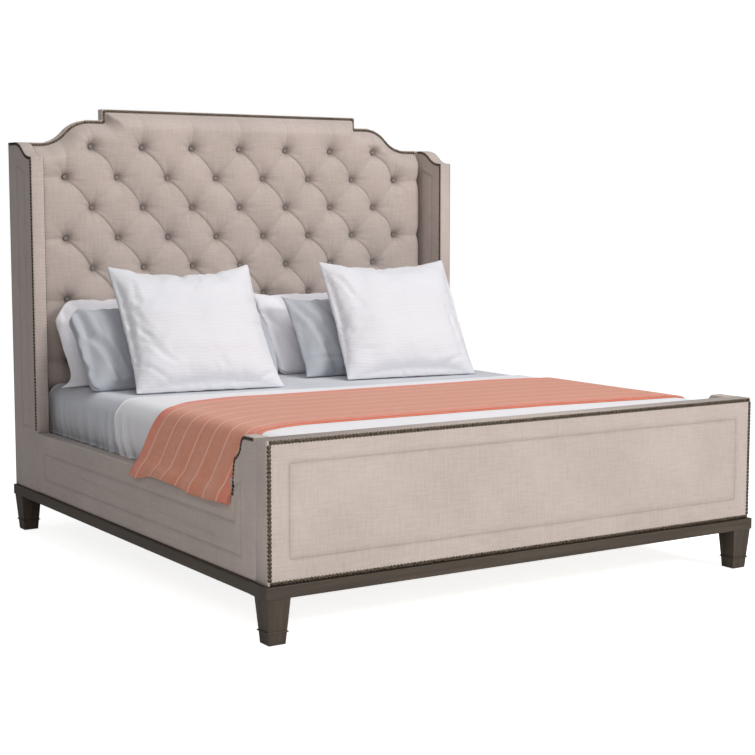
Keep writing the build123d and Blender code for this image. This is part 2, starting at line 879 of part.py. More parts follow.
def make_mattress():
    foundation = soft_block(mattress_x, mattress_foot_y, mattress_head_y, slat_top_z, foundation_top_z,
                            foundation_corner, foundation_round)
    save("foundation", foundation)
    mattress = soft_block(mattress_x, mattress_foot_y, mattress_head_y, foundation_top_z + soft_gap,
                          mattress_top_z, mattress_corner, mattress_round)
    save("mattress", mattress)
    save("fitted_sheet", cap(0, sheet_thickness, base_length / 2))
    second = sheet_thickness + blanket_thickness
    save("blanket", cap(sheet_thickness, second, blanket_head_y))
    save("coverlet", cap(second, second + coverlet_thickness, coverlet_head_y))


def throw_section(place, back_y, foot_y, wave):
    """One cross-section of the throw: a thin band across it, waved along its length."""
    x, z, angle = place
    out_x, out_z = math.sin(math.radians(angle)), math.cos(math.radians(angle))
    inner, outer = [], []
    for i in range(throw_wave_steps + 1):
        share = i / throw_wave_steps
        y = back_y + (foot_y - back_y) * share
        swing = wave * (1 - math.cos(2 * math.pi * throw_wave_count * share)) / 2
        inner.append((x + out_x * swing, y, z + out_z * swing))
        swing += throw_thickness
        outer.append((x + out_x * swing, y, z + out_z * swing))
    return make_face(Polyline(*inner, *reversed(outer), close=True))


hang_shares = [0, 0.24, 0.36, 0.66, 0.93, 1]
wave_shares = [0, 0, 0, 0.5, 0.8, 1]


def throw_places():
    """The throw's way over the mattress edge and the rail: X, Z and the way its upper face looks."""
    lie_z = coverlet_top_z + soft_gap
    grow = coverlet_top_z - mattress_top_z
    radius = mattress_round + grow
    centre_x, centre_z = mattress_x + grow - radius, coverlet_top_z - radius
    radius = (radius + soft_gap) / math.cos(math.radians(throw_turn_degrees / 2))
    rail_z = rail_height + throw_rail_clearance
    places = [(throw_flat_x, lie_z, 0)]
    for turn in (throw_turn_degrees / 2, 3 * throw_turn_degrees / 2):
        places.append((centre_x + radius * math.sin(math.radians(turn)),
                       centre_z + radius * math.cos(math.radians(turn)), turn))
    last = places[-1]
    places.append(((last[0] + throw_edge_x) / 2, (last[1] + rail_z) / 2, 2 * throw_turn_degrees))
    places.append((throw_edge_x, rail_z, (90 + 2 * throw_turn_degrees) / 2))
    places.append((throw_edge_x, throw_hem_z, 90))
    return places


def throw_side():
    """The part of the throw that goes over the mattress edge and hangs outside the rail."""
    sections = []
    for place, hang_share, wave_share in zip(throw_places(), hang_shares, wave_shares):
        back_y = throw_back_y + (throw_hem_back_y - throw_back_y) * hang_share
        foot_y = throw_front_y + (throw_hem_front_y - throw_front_y) * hang_share
        sections.append(throw_section(place, back_y, foot_y, throw_wave * wave_share))
    return loft(sections, ruled=True)


def make_throw():
    lie_z = coverlet_top_z + soft_gap
    middle = block(-throw_flat_x, throw_flat_x, throw_front_y, throw_back_y, lie_z,
                   lie_z + throw_thickness)
    side = throw_side()
    save("throw", middle + side + other_side(side))


# Pillows

def pillow_ring(half_x, half_z, draw):
    """A four-cornered ring whose sides bow by a given amount: inwards where it is positive."""
    corners = [(-half_x, -half_z), (half_x, -half_z), (half_x, half_z), (-half_x, half_z)]
    middles = [(0, -half_z + draw), (half_x - draw, 0), (0, half_z - draw), (-half_x + draw, 0)]
    edges = []
    for i, middle in enumerate(middles):
        edges.append(ThreePointArc(corners[i], middle, corners[(i + 1) % 4]))
    return make_face(edges)


size_shares = [1, 0.95, 0.86, 0.72, 0.52, 0.28]
swell_shares = [0, 0.26, 0.52, 0.76, 0.92, 1]
draw_shares = [1, 0.7, 0.2, -0.35, -0.7, -0.6]


def pillow(width, height, front_swell, back_swell, draw):
    """A stuffed pillow standing on its lower edge, its front towards the foot of the bed."""
    halves = []
    for swell, way in ((front_swell, 1), (back_swell, -1)):
        rings = []
        for size_share, swell_share, draw_share in zip(size_shares, swell_shares, draw_shares):
            ring = pillow_ring(width / 2 * size_share, height / 2 * size_share, draw * draw_share)
            rings.append(Pos(0, 0, way * (seam_half_thickness + swell * swell_share)) * ring)
        halves.append(loft(rings))
    seam = extrude(pillow_ring(width / 2, height / 2, draw), amount=seam_half_thickness, both=True)
    return Rot(90, 0, 0) * (halves[0] + halves[1] + seam)


def lean(piece, x, middle_y, turn):
    """A pillow leaned back, turned about Z and set down on the blanket."""
    piece = Rot(0, 0, turn) * Rot(-pillow_tilt, 0, 0) * piece
    low = piece.bounding_box().min.Z
    return Pos(x, middle_y, blanket_top_z + soft_gap - low) * piece


def make_pillows():
    lean_sine = math.sin(math.radians(pillow_tilt))
    lean_cosine = math.cos(math.radians(pillow_tilt))
    seam = 2 * seam_half_thickness + pillow_gap
    white_y = pad_front_y - soft_gap - (white_height * lean_sine + seam) / 2
    foot_y = white_y - white_height * lean_sine / 2
    foot_y -= (white_swell + blue_back_swell + seam) / lean_cosine
    blue_y = foot_y + blue_height * lean_sine / 2
    foot_y -= (blue_swell + square_back_swell + seam + square_turn_room) / lean_cosine
    square_y = foot_y + square_height * lean_sine / 2
    white = pillow(white_width, white_height, white_swell, white_back_swell, white_draw)
    blue = pillow(blue_width, blue_height, blue_swell, blue_back_swell, blue_draw)
    square = pillow(square_width, square_height, square_swell, square_back_swell, square_draw)
    save("white_pillow_left", lean(white, white_left_share * mattress_x, white_y, 0))
    save("white_pillow_right", lean(white, white_right_share * mattress_x, white_y, 0))
    save("blue_pillow_left", lean(blue, blue_left_share * mattress_x, blue_y, 0))
    save("blue_pillow_right", lean(blue, blue_right_share * mattress_x, blue_y, 0))
    save("square_pillow_left", lean(square, square_left_share * mattress_x, square_y, square_turn))
    save("square_pillow_right", lean(square, square_right_share * mattress_x, square_y, square_turn))


make_base()
make_legs()
make_slats()
make_centre_support()
make_rails()
make_footboard()
make_brackets()
make_headboard()
make_wings()
make_pad()
make_nails()
make_mattress()
make_throw()
make_pillows()
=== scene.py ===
import math
import bmesh
import bpy
import numpy as np
from mathutils import Matrix, Vector
from mathutils.bvhtree import BVHTree
from mathutils.geometry import delaunay_2d_cdt


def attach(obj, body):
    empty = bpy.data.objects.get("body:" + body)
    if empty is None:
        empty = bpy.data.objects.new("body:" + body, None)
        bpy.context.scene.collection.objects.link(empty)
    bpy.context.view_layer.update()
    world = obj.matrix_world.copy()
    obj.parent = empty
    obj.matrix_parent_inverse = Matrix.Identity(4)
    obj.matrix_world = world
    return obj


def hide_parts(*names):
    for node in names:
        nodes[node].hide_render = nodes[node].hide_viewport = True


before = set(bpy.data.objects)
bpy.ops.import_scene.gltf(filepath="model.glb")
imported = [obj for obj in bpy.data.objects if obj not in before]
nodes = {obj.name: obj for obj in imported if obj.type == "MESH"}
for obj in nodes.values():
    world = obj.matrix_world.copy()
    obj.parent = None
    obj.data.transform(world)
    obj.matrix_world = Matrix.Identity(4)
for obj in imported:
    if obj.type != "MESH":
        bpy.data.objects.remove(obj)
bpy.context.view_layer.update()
scene = bpy.context.scene
frameBody = "bed_frame"
print("frame loaded")

# Main places of the bed in metres: X across, -Y towards the foot, Z up
bed = {
    "outerX": 1.060, "innerX": 1.003, "frontY": -1.135, "footboardBackY": -1.055, "rearY": 1.140,
    "clothFrontY": 1.138, "baseTopZ": 0.197, "railTopZ": 0.450, "footWingZ": 0.666, "wingFrontY": 0.877,
    "topZ": 1.821, "shelfZ": 1.771, "shoulderZ": 1.669, "stepX": 0.648, "shelfX": 0.709,
    "shoulderX": 0.940, "padEdgeY": 1.095, "panelFrontY": 1.102, "padFrontY": 1.012,
    "mattressX": 0.960, "mattressFootY": -1.038, "mattressHeadY": 0.994, "mattressTopZ": 0.640,
    "blanketTopZ": 0.647,
}


# Node helpers

def feed(tree, made, values):
    for key, value in values.items():
        key = key.replace("_", " ")
        socket = made.inputs[int(key)] if key.isdigit() else made.inputs[key]
        if isinstance(value, bpy.types.NodeSocket):
            tree.links.new(value, socket)
        else:
            socket.default_value = value


def node(tree, kind, settings=None, **values):
    made = tree.nodes.new("ShaderNode" + kind)
    for key, value in (settings or {}).items():
        setattr(made, key, value)
    feed(tree, made, values)
    return made


def maths(tree, operation, a, b=0.0):
    return node(tree, "Math", {"operation": operation}, **{"0": a, "1": b}).outputs[0]


def times(tree, a, b):
    return maths(tree, "MULTIPLY", a, b)


def plus(tree, a, b):
    return maths(tree, "ADD", a, b)


def ramp(tree, value, low, high, toLow=0.0, toHigh=1.0):
    return node(tree, "MapRange", {"interpolation_type": "SMOOTHSTEP"}, Value=value, From_Min=low,
                From_Max=high, To_Min=toLow, To_Max=toHigh).outputs[0]


def blendColours(tree, share, first, second, kind="MIX"):
    return node(tree, "Mix", {"data_type": "RGBA", "blend_type": kind},
                **{"0": share, "6": first, "7": second}).outputs[2]


def shaded(tree, tone, shade):
    grey = node(tree, "CombineXYZ", X=shade, Y=shade, Z=shade).outputs[0]
    return blendColours(tree, 1.0, tone, grey, "MULTIPLY")


def noise(tree, vector, scale, detail=3.0, rough=0.55):
    return node(tree, "TexNoise", Vector=vector, Scale=scale, Detail=detail, Roughness=rough).outputs["Fac"]


def streaks(tree, vector, scale, detail=2.0, rough=0.55):
    stretched = node(tree, "Mapping", Vector=vector, Scale=scale).outputs[0]
    return noise(tree, stretched, 1.0, detail, rough)


def flatPlace(tree):
    return node(tree, "UVMap", {"uv_map": "flat"}).outputs[0]


def objectPlace(tree):
    return node(tree, "TexCoord").outputs["Object"]


def bump(tree, height, strength, distance):
    return node(tree, "Bump", Height=height, Strength=strength, Distance=distance).outputs[0]


def newMaterial(name):
    material = bpy.data.materials.new(name)
    material.use_nodes = True
    tree = material.node_tree
    return material, tree, tree.nodes["Principled BSDF"]


def colour(tone):
    return (*tone, 1.0)


# Camera and light

view = {"place": (-3.443, -5.500, 1.396), "downDegrees": 6.0915, "turnDegrees": 32.6395, "sensor": 36,
        "focalPixels": 1597.2, "framePixels": 755, "farEnd": 100}
lamps = {
    "key": {"place": (2.2, -6.5, 4.0), "aim": (0, 0, 0.7), "size": (2.4, 2.0), "power": 325,
            "tone": (1.0, 0.99, 0.97)},
    "overhead": {"place": (0.4, -0.4, 4.6), "aim": (0, 0, 0.5), "size": (3.6, 3.6), "power": 84,
                 "tone": (1, 1, 1)},
    "side": {"place": (-3.0, -4.1, 2.3), "aim": (-1.0, -1.0, 0.5), "size": (1.8, 1.8), "power": 52,
             "tone": (1.0, 0.98, 0.955)},
}
studio = {"seen": (1, 1, 1, 1), "light": (1.0, 0.99, 0.98, 1), "strength": 0.185}


def addObject(name, data):
    made = bpy.data.objects.new(name, data)
    scene.collection.objects.link(made)
    return made


def makeCamera():
    camera = addObject("camera", bpy.data.cameras.new("camera"))
    camera.data.sensor_width = view["sensor"]
    camera.data.lens = view["focalPixels"] / view["framePixels"] * view["sensor"]
    camera.data.clip_end = view["farEnd"]
    camera.location = view["place"]
    camera.rotation_euler = (math.radians(90 - view["downDegrees"]), 0, -math.radians(view["turnDegrees"]))
    scene.camera = camera


def areaLight(name, place, aim, size, power, tone):
    light = bpy.data.lights.new(name, "AREA")
    light.shape = "RECTANGLE"
    light.size, light.size_y = size
    light.energy = power
    light.color = tone
    lamp = addObject(name, light)
    lamp.location = place
    lamp.rotation_mode = "QUATERNION"
    lamp.rotation_quaternion = (Vector(aim) - Vector(place)).to_track_quat("-Z", "Y")


def makeWorld():
    scene.world = bpy.data.worlds.new("studio")
    scene.world.use_nodes = True
    tree = scene.world.node_tree
    tree.nodes.clear()
    seen = node(tree, "Background", Color=studio["seen"])
    lit = node(tree, "Background", Color=studio["light"], Strength=studio["strength"])
    ray = node(tree, "LightPath").outputs["Is Camera Ray"]
    mix = node(tree, "MixShader", **{"0": ray, "1": lit.outputs[0], "2": seen.outputs[0]})
    node(tree, "OutputWorld", Surface=mix.outputs[0])


makeCamera()
for name, lamp in lamps.items():
    areaLight(name, **lamp)
makeWorld()
scene.view_settings.view_transform = "Standard"
print("camera and light made")


# Woven cloth: a node group gives thread height, slub streaks and slow shade from flat coordinates

# Each noise: its stretch, detail and roughness
weaveLook = {
    "fine": (((16, 420, 1), 3.0, 0.6), ((420, 16, 1), 3.0, 0.6)),
    "wide": (((11, 130, 1), 2.0, 0.5), ((140, 10, 1), 2.0, 0.5)),
    "shares": (0.62, 0.38), "threadPitch": 0.0021, "threadShare": 0.35, "slow": (3.2, 2.0, 0.5),
}


def makeWeaveGroup():
    group = bpy.data.node_groups.new("wovenCloth", "ShaderNodeTree")
    group.interface.new_socket("Vector", in_out="INPUT", socket_type="NodeSocketVector")
    for name in ("Slub", "Height", "Slow"):
        group.interface.new_socket(name, in_out="OUTPUT", socket_type="NodeSocketFloat")
    flat = group.nodes.new("NodeGroupInput").outputs["Vector"]
    end = group.nodes.new("NodeGroupOutput")
    layers = []
    for key, share in zip(("fine", "wide"), weaveLook["shares"]):
        across, upward = (times(group, streaks(group, flat, *one), 0.5) for one in weaveLook[key])
        layers.append(times(group, plus(group, across, upward), share))
    slub = plus(group, *layers)
    parts = node(group, "SeparateXYZ", Vector=flat)
    threads = []
    for axis in (0, 1):
        turn = times(group, parts.outputs[axis], 2 * math.pi / weaveLook["threadPitch"])
        threads.append(maths(group, "ABSOLUTE", maths(group, "SINE", turn)))
    woven = times(group, *threads)
    height = plus(group, times(group, woven, weaveLook["threadShare"]), slub)
    slow = noise(group, flat, *weaveLook["slow"])
    feed(group, end, {"Slub": slub, "Height": height, "Slow": slow})
    return group


weaveGroup = makeWeaveGroup()


def weave(tree, vector):
    made = tree.nodes.new("ShaderNodeGroup")
    made.node_tree = weaveGroup
    tree.links.new(vector, made.inputs["Vector"])
    return made.outputs


# Materials. A shade row holds the noise's low and high, then the shades that they give

clothLook = {"contrast": 0.16, "shade": (0.3, 0.7, 0.95, 1.04), "paintedShadeDark": 0.34, "sheenRough": 0.45,
             "bump": 0.55}
ribLook = {"pitch": 0.0150, "wander": (14, 40, 1), "wanderHeight": 0.004, "shade": (0.3, 0.7, 0.97, 1.0),
           "rough": 0.9, "sheen": 0.2, "weaveShare": 0.25, "bump": 0.6}
throwLook = {
    "width": 0.810, "border": 0.095, "borderSoft": 0.012, "stripes": 7, "stripeHalf": 0.031,
    "stripeSoft": 1.7, "stripeEnds": (0.02, 0.03), "stripeShare": 0.85, "stripeDepth": 0.5,
    "streak": ((3, 150, 1), 3.0, 0.6), "bandShare": 0.35, "tanRamp": (0.35, 0.95),
    "slubRamp": (0.36, 0.64), "coral": ((0.73, 0.174, 0.088), (0.86, 0.238, 0.135)),
    "tan": ((0.63, 0.222, 0.118), (0.79, 0.305, 0.180)), "stripe": (0.78, 0.55, 0.40), "rough": 0.95,
    "sheen": 0.45, "sheenRough": 0.4, "bump": (0.8, 0.0012),
}
# Each wood noise: its scale across and along the grain, detail and roughness
woodLook = {"fibre": (60.0, 2.2, 4.0, 0.6), "figure": (14.0, 0.9, 3.0, 0.5), "shares": (0.55, 0.45),
            "ramp": (0.36, 0.64), "roughRamp": (0.3, 0.7), "smoother": 0.06, "rougher": 0.08,
            "reflect": 0.36, "coatRough": 0.35, "bump": (0.25, 0.0004)}
metalLook = {"noise": (3.0, 0.6), "ramp": (0.38, 0.62), "roughRamp": (0.3, 0.7), "rougher": 0.12,
             "smoother": 0.05, "bump": (0.15, 0.0003)}
plasticLook = {"noise": (900.0, 2.0), "shade": (0.3, 0.7, 0.85, 1.1), "rough": 0.55, "bump": (0.2, 0.0002)}


def clothMaterial(name, dark, light, slubShare=1.0, sheen=0.25, rough=0.92, depth=0.0006):
    material, tree, surface = newMaterial(name)
    cloth = weave(tree, flatPlace(tree))
    reach = clothLook["contrast"] / slubShare
    mixed = ramp(tree, cloth["Slub"], 0.5 - reach, 0.5 + reach)
    tone = blendColours(tree, mixed, colour(dark), colour(light))
    tone = shaded(tree, tone, ramp(tree, cloth["Slow"], *clothLook["shade"]))
    # Painted shade: a per-point attribute darkens the cloth toward a dark copy of its colour along seams,
    # pleats and around covered buttons
    paintedShade = node(tree, "Attribute", {"attribute_name": "paintedShade"}).outputs["Fac"]
    tone = blendColours(tree, paintedShade, tone, colour(clothLook["paintedShadeDark"] * value for value in dark))
    feed(tree, surface, {"Base Color": tone, "Roughness": rough, "Sheen Weight": sheen,
                         "Sheen Roughness": clothLook["sheenRough"],
                         "Normal": bump(tree, cloth["Height"], clothLook["bump"], depth)})
    return material


def ribMaterial(name, base, sharp, lowShade, depth):
    material, tree, surface = newMaterial(name)
    flat = flatPlace(tree)
    cloth = weave(tree, flat)
    wander = times(tree, streaks(tree, flat, ribLook["wander"]), ribLook["wanderHeight"])
    high = plus(tree, node(tree, "SeparateXYZ", Vector=flat).outputs[1], wander)
    wave = maths(tree, "SINE", times(tree, high, math.pi / ribLook["pitch"]))
    rib = maths(tree, "POWER", maths(tree, "ABSOLUTE", wave), sharp)
    slow = ramp(tree, cloth["Slow"], *ribLook["shade"])
    # Painted shade: the valleys between the ribs are darker, down to lowShade
    shade = times(tree, ramp(tree, rib, 0.0, 1.0, lowShade, 1.0), slow)
    height = plus(tree, rib, times(tree, cloth["Height"], ribLook["weaveShare"]))
    feed(tree, surface, {"Base Color": shaded(tree, colour(base), shade), "Roughness": ribLook["rough"],
                         "Sheen Weight": ribLook["sheen"],
                         "Normal": bump(tree, height, ribLook["bump"], depth)})
    return material


def throwMaterial():
    material, tree, surface = newMaterial("throwWeave")
    flat = flatPlace(tree)
    cloth = weave(tree, flat)
    edge, half = throwLook["border"], throwLook["stripeHalf"]
    share = maths(tree, "DIVIDE", node(tree, "SeparateXYZ", Vector=flat).outputs[1], throwLook["width"])
    pitch = (1 - 2 * edge) / (throwLook["stripes"] - 1)
    phase = maths(tree, "DIVIDE", maths(tree, "SUBTRACT", share, edge), pitch)
    nearest = maths(tree, "ABSOLUTE", maths(tree, "SUBTRACT", phase, maths(tree, "ROUND", phase)))
    stripe = ramp(tree, nearest, half, half * throwLook["stripeSoft"], 1.0, 0.0)
    middle = maths(tree, "ABSOLUTE", maths(tree, "SUBTRACT", share, 0.5))
    soft = throwLook["borderSoft"]
    inside = ramp(tree, middle, 0.5 - edge - soft, 0.5 - edge + soft, 1.0, 0.0)
    near, far = (0.5 - edge + gap for gap in throwLook["stripeEnds"])
    stripe = times(tree, stripe, ramp(tree, middle, near, far, 1.0, 0.0))
    turn = maths(tree, "ABSOLUTE", maths(tree, "SINE", times(tree, phase, math.pi)))
    bands = plus(tree, times(tree, turn, throwLook["bandShare"]), streaks(tree, flat, *throwLook["streak"]))
    tanShare = times(tree, ramp(tree, bands, *throwLook["tanRamp"]), inside)
    slub = ramp(tree, cloth["Slub"], *throwLook["slubRamp"])
    coral, tan = (blendColours(tree, slub, colour(throwLook[key][0]), colour(throwLook[key][1]))
                  for key in ("coral", "tan"))
    tone = blendColours(tree, tanShare, coral, tan)
    stripeShare = times(tree, stripe, throwLook["stripeShare"])
    tone = blendColours(tree, stripeShare, tone, colour(throwLook["stripe"]))
    height = maths(tree, "SUBTRACT", cloth["Height"], times(tree, stripe, throwLook["stripeDepth"]))
    feed(tree, surface, {"Base Color": tone, "Roughness": throwLook["rough"],
                         "Sheen Weight": throwLook["sheen"], "Sheen Roughness": throwLook["sheenRough"],
                         "Normal": bump(tree, height, *throwLook["bump"])})
    return material


def woodMaterial(name, dark, light, grain, rough, coat=0.0):
    material, tree, surface = newMaterial(name)
    place = objectPlace(tree)
    layers = []
    for across, along, detail, coarse in (woodLook["fibre"], woodLook["figure"]):
        scale = [across, across, across]
        scale[grain] = along
        layers.append(streaks(tree, place, scale, detail, coarse))
    parts = [times(tree, layer, share) for layer, share in zip(layers, woodLook["shares"])]
    mixed = ramp(tree, plus(tree, *parts), *woodLook["ramp"])
    feed(tree, surface, {
        "Base Color": blendColours(tree, mixed, colour(dark), colour(light)),
        "Roughness": ramp(tree, layers[0], *woodLook["roughRamp"], rough - woodLook["smoother"],
                          rough + woodLook["rougher"]),
        "Coat Weight": coat, "Specular IOR Level": woodLook["reflect"],
        "Coat Roughness": woodLook["coatRough"], "Normal": bump(tree, layers[0], *woodLook["bump"])})
    return material


def metalMaterial(name, base, dark, rough, scale):
    material, tree, surface = newMaterial(name)
    patch = noise(tree, objectPlace(tree), scale, *metalLook["noise"])
    share = ramp(tree, patch, *metalLook["ramp"])
    feed(tree, surface, {
        "Base Color": blendColours(tree, share, colour(dark), colour(base)), "Metallic": 1.0,
        "Roughness": ramp(tree, patch, *metalLook["roughRamp"], rough + metalLook["rougher"],
                          rough - metalLook["smoother"]),
        "Normal": bump(tree, patch, *metalLook["bump"])})
    return material


def plasticMaterial(name, base):
    material, tree, surface = newMaterial(name)
    grain = noise(tree, objectPlace(tree), *plasticLook["noise"])
    tone = shaded(tree, colour(base), ramp(tree, grain, *plasticLook["shade"]))
    feed(tree, surface, {"Base Color": tone, "Roughness": plasticLook["rough"],
                         "Normal": bump(tree, grain, *plasticLook["bump"])})
    return material


looks = {
    "linen": clothMaterial("linen", (0.422, 0.354, 0.322), (0.520, 0.446, 0.410)),
    "dust": clothMaterial("dustCloth", (0.20, 0.18, 0.16), (0.29, 0.265, 0.24), 0.7, 0.1, 0.95, 0.0004),
    "white": clothMaterial("whiteCotton", (0.755, 0.750, 0.800), (0.835, 0.830, 0.880), 0.5, 0.15, 0.85,
                           0.0002),
    "blue": clothMaterial("blueCotton", (0.555, 0.575, 0.630), (0.635, 0.655, 0.710), 0.5, 0.2, 0.8,
                          0.0002),
    "bluePillow": clothMaterial("bluePillow", (0.385, 0.403, 0.445), (0.455, 0.473, 0.520), 0.5, 0.2, 0.8,
                                0.0002),
    "ticking": clothMaterial("ticking", (0.72, 0.70, 0.67), (0.80, 0.79, 0.77), 0.5, 0.1, 0.9, 0.0004),
    "ribbedWhite": ribMaterial("ribbedWhite", (0.735, 0.737, 0.780), 0.35, 0.955, 0.0011),
    "coverletWhite": ribMaterial("coverletWhite", (0.86, 0.855, 0.895), 0.4, 0.89, 0.0016),
    "throw": throwMaterial(),
    "nail": metalMaterial("antiqueBronze", (0.155, 0.125, 0.092), (0.040, 0.031, 0.023), 0.42, 160.0),
    "steel": metalMaterial("zincSteel", (0.62, 0.63, 0.64), (0.48, 0.49, 0.50), 0.34, 60.0),
    "plastic": plasticMaterial("glidePlastic", (0.035, 0.034, 0.033)),
}
for grain, axisName in enumerate("XYZ"):
    looks["dark" + axisName] = woodMaterial("darkWood" + axisName, (0.040, 0.029, 0.020),
                                            (0.070, 0.053, 0.037), grain, 0.5, 0.05)
    looks["plain" + axisName] = woodMaterial("plainWood" + axisName, (0.52, 0.37, 0.22),
                                             (0.68, 0.52, 0.34), grain, 0.7)
print("materials made")


# Mesh helpers

def readValues(items, key, width=1, kind=float):
    values = np.zeros(len(items) * width, kind)
    items.foreach_get(key, values)
    return values.reshape(-1, width) if width > 1 else values


def flatMesh(name, points, faces, flat):
    mesh = bpy.data.meshes.new(name)
    mesh.from_pydata(np.asarray(points, float).tolist(), [], faces)
    layer = mesh.uv_layers.new(name="flat")
    corner = readValues(mesh.loops, "vertex_index", kind=np.int32)
    values = flat(mesh, corner) if callable(flat) else np.asarray(flat, float)[corner]
    layer.data.foreach_set("uv", np.asarray(values, np.float32).ravel())
    return mesh


def piece(name, points, faces, flat, look, slot, body, stands, paintedShade=None):
    mesh = flatMesh(name, points, faces, flat)
    # The optional per-point values are painted shade, stored as an attribute for the cloth material
    if paintedShade is not None:
        paintedShadeMark = mesh.attributes.new("paintedShade", "FLOAT", "POINT")
        paintedShadeMark.data.foreach_set("value", np.asarray(paintedShade, np.float32))
    mesh.polygons.foreach_set("use_smooth", [True] * len(mesh.polygons))
    mesh.materials.append(looks[look])
    mesh.validate()
    mesh.update()
    made = addObject(name, mesh)
    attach(made, body)
    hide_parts(*stands)
    return made


def readMesh(shape):
    bmesh.ops.recalc_face_normals(shape, faces=shape.faces)
    shape.verts.index_update()
    points = np.array([v.co[:] for v in shape.verts])
    faces = [[v.index for v in face.verts] for face in shape.faces]
    shape.free()
    return points, faces


def boxFlat(mesh, corner):
    normals = readValues(mesh.polygons, "normal", 3)
    counts = readValues(mesh.polygons, "loop_total", kind=np.int32)
    main = np.repeat(np.abs(normals).argmax(1), counts)
    spot = readValues(mesh.vertices, "co", 3)[corner]
    first = np.where(main == 0, spot[:, 1], spot[:, 0])
    second = np.where(main == 2, spot[:, 1], spot[:, 2])
    return np.stack([first, second], 1)


def openSides(faces):
    sides = {(a, b): True for face in faces for a, b in zip(face, face[1:] + face[:1])}
    return [(a, b) for a, b in sides if (b, a) not in sides]


def gridFaces(rows, columns, start=0, flip=False):
    i, j = np.meshgrid(np.arange(rows - 1), np.arange(columns - 1), indexing="ij")
    a = (start + i * columns + j).ravel()
    faces = np.stack([a, a + 1, a + columns + 1, a + columns], 1)
    return (faces[:, ::-1] if flip else faces).tolist()


def rimFaces(rows, columns, back):
    ring = list(range(columns))
    ring += [i * columns + columns - 1 for i in range(1, rows)]
    ring += [(rows - 1) * columns + j for j in range(columns - 2, -1, -1)]
    ring += [i * columns for i in range(rows - 2, 0, -1)]
    return [[b, a, back + a, back + b] for a, b in zip(ring, ring[1:] + ring[:1])]


def gridNormals(points):
    across = np.cross(np.gradient(points, axis=0), np.gradient(points, axis=1))
    return across / np.maximum(np.linalg.norm(across, axis=2, keepdims=True), 1e-12)


# A closed sheet around a grid of points. The throw's grid runs the other way, so its faces turn
def clothShell(points, thickness, turned=False):
    rows, columns = points.shape[:2]
    move = gridNormals(points) * (thickness[:, :, None] / 2)
    shell = np.concatenate([(points + move).reshape(-1, 3), (points - move).reshape(-1, 3)])
    count = rows * columns
    faces = gridFaces(rows, columns, 0, True) + gridFaces(rows, columns, count)
    faces += rimFaces(rows, columns, count)
    return shell, [face[::-1] for face in faces] if turned else faces


def toLines(points, line, closed=True):
    start = np.asarray(line, float)
    end = np.roll(start, -1, 0) if closed else start[1:]
    start = start if closed else start[:-1]
    best = np.full(len(points), 1e9)
    for a, b in zip(start, end):
        way = b - a
        share = np.clip(((points - a) @ way) / max(way @ way, 1e-12), 0, 1)
        gap = points - a - share[:, None] * way
        best = np.minimum(best, np.hypot(gap[:, 0], gap[:, 1]))
    return best


def insetLoop(line, amount):
    p = np.asarray(line, float)
    a = p - np.roll(p, 1, 0)
    b = np.roll(p, -1, 0) - p
    a /= np.linalg.norm(a, axis=1, keepdims=True)
    b /= np.linalg.norm(b, axis=1, keepdims=True)
    na, nb = np.stack([-a[:, 1], a[:, 0]], 1), np.stack([-b[:, 1], b[:, 0]], 1)
    side = (na + nb) / (1 + (na * nb).sum(1, keepdims=True))
    moved = p + side * amount
    return moved[toLines(moved, p) > 0.97 * abs(amount)]


def runLengths(line):
    return np.concatenate([[0], np.cumsum(np.hypot(*np.diff(line, axis=0).T))])


def smoothLine(line, rounds):
    for _ in range(rounds):
        line[1:-1] = (line[:-2] + 2 * line[1:-1] + line[2:]) / 4


def ogee(start, end, steps=10):
    start, end = np.array(start), np.array(end)
    middle = (start + end) / 2
    arcs = []
    for first in (start, end):
        run, rise = middle - first
        radius = (run * run + rise * rise) / (2 * abs(rise))
        turns = np.linspace(0, 2 * math.atan2(abs(rise), abs(run)), steps)
        arcs.append(np.stack([first[0] + np.sign(run) * radius * np.sin(turns),
                              first[1] + np.sign(rise) * radius * (1 - np.cos(turns))], 1))
    return np.concatenate([arcs[0], arcs[1][::-1][1:]]).tolist()


def bowed(start, end, bulge, steps=7):
    a, b = np.array(start), np.array(end)
    way = (b - a) / np.linalg.norm(b - a)
    t = np.linspace(0, 1, steps)[:, None]
    return (a + t * (b - a) + 4 * t * (1 - t) * bulge * np.array([way[1], -way[0]])).tolist()


# Outlines of the upholstered walls. Wings and rails lie in Y and Z, the two ends in X and Z

wingShape = {"drop": 0.064, "nose": 0.010, "curveInset": 0.032, "panelFront": 0.078, "panelBack": 0.057,
             "panelLow": 0.020, "panelHigh": 0.128, "panelSlope": 0.031}
# The foot wing's crest, the run and fall from it to the hollow, shelf and neck, and each curve's bulge
railShape = {"crest": 0.078, "falls": ((0.026, 0.042), (0.036, 0.036), (0.013, 0.042)), "root": 0.013,
             "bulges": (0.004, -0.005, 0.006),
             "panelLow": 0.068, "panelHeight": 0.107, "panelFoot": 0.098, "panelHead": 0.084,
             "panelNeck": 0.046, "panelRises": (0.227, 0.247)}
footPanel = {"halfWidth": 0.981, "low": 0.276, "high": 0.587, "radius": 0.010}


def headboardOutline(halfWidth, low):
    shoulder, shelf = (bed["shoulderX"], bed["shoulderZ"]), (bed["shelfX"], bed["shelfZ"])
    half = [(halfWidth, low), (halfWidth, bed["shoulderZ"])]
    if halfWidth > bed["shoulderX"]:
        half.append(shoulder)
    half += ogee(shoulder, shelf)[1:]
    half += [(bed["stepX"], bed["shelfZ"]), (bed["stepX"], bed["topZ"])]
    return half + [(-x, z) for x, z in reversed(half)]


def wingOutline():
    y0, y1, low = bed["wingFrontY"], bed["clothFrontY"], bed["baseTopZ"]
    frontZ = bed["shoulderZ"] - wingShape["drop"]
    curve = ogee((y0 + wingShape["nose"], frontZ),
                 (bed["padEdgeY"] - wingShape["curveInset"], bed["shoulderZ"]))
    return [(y0, low), (y1, low), (y1, bed["shoulderZ"])] + curve[::-1] + [(y0, frontZ)]


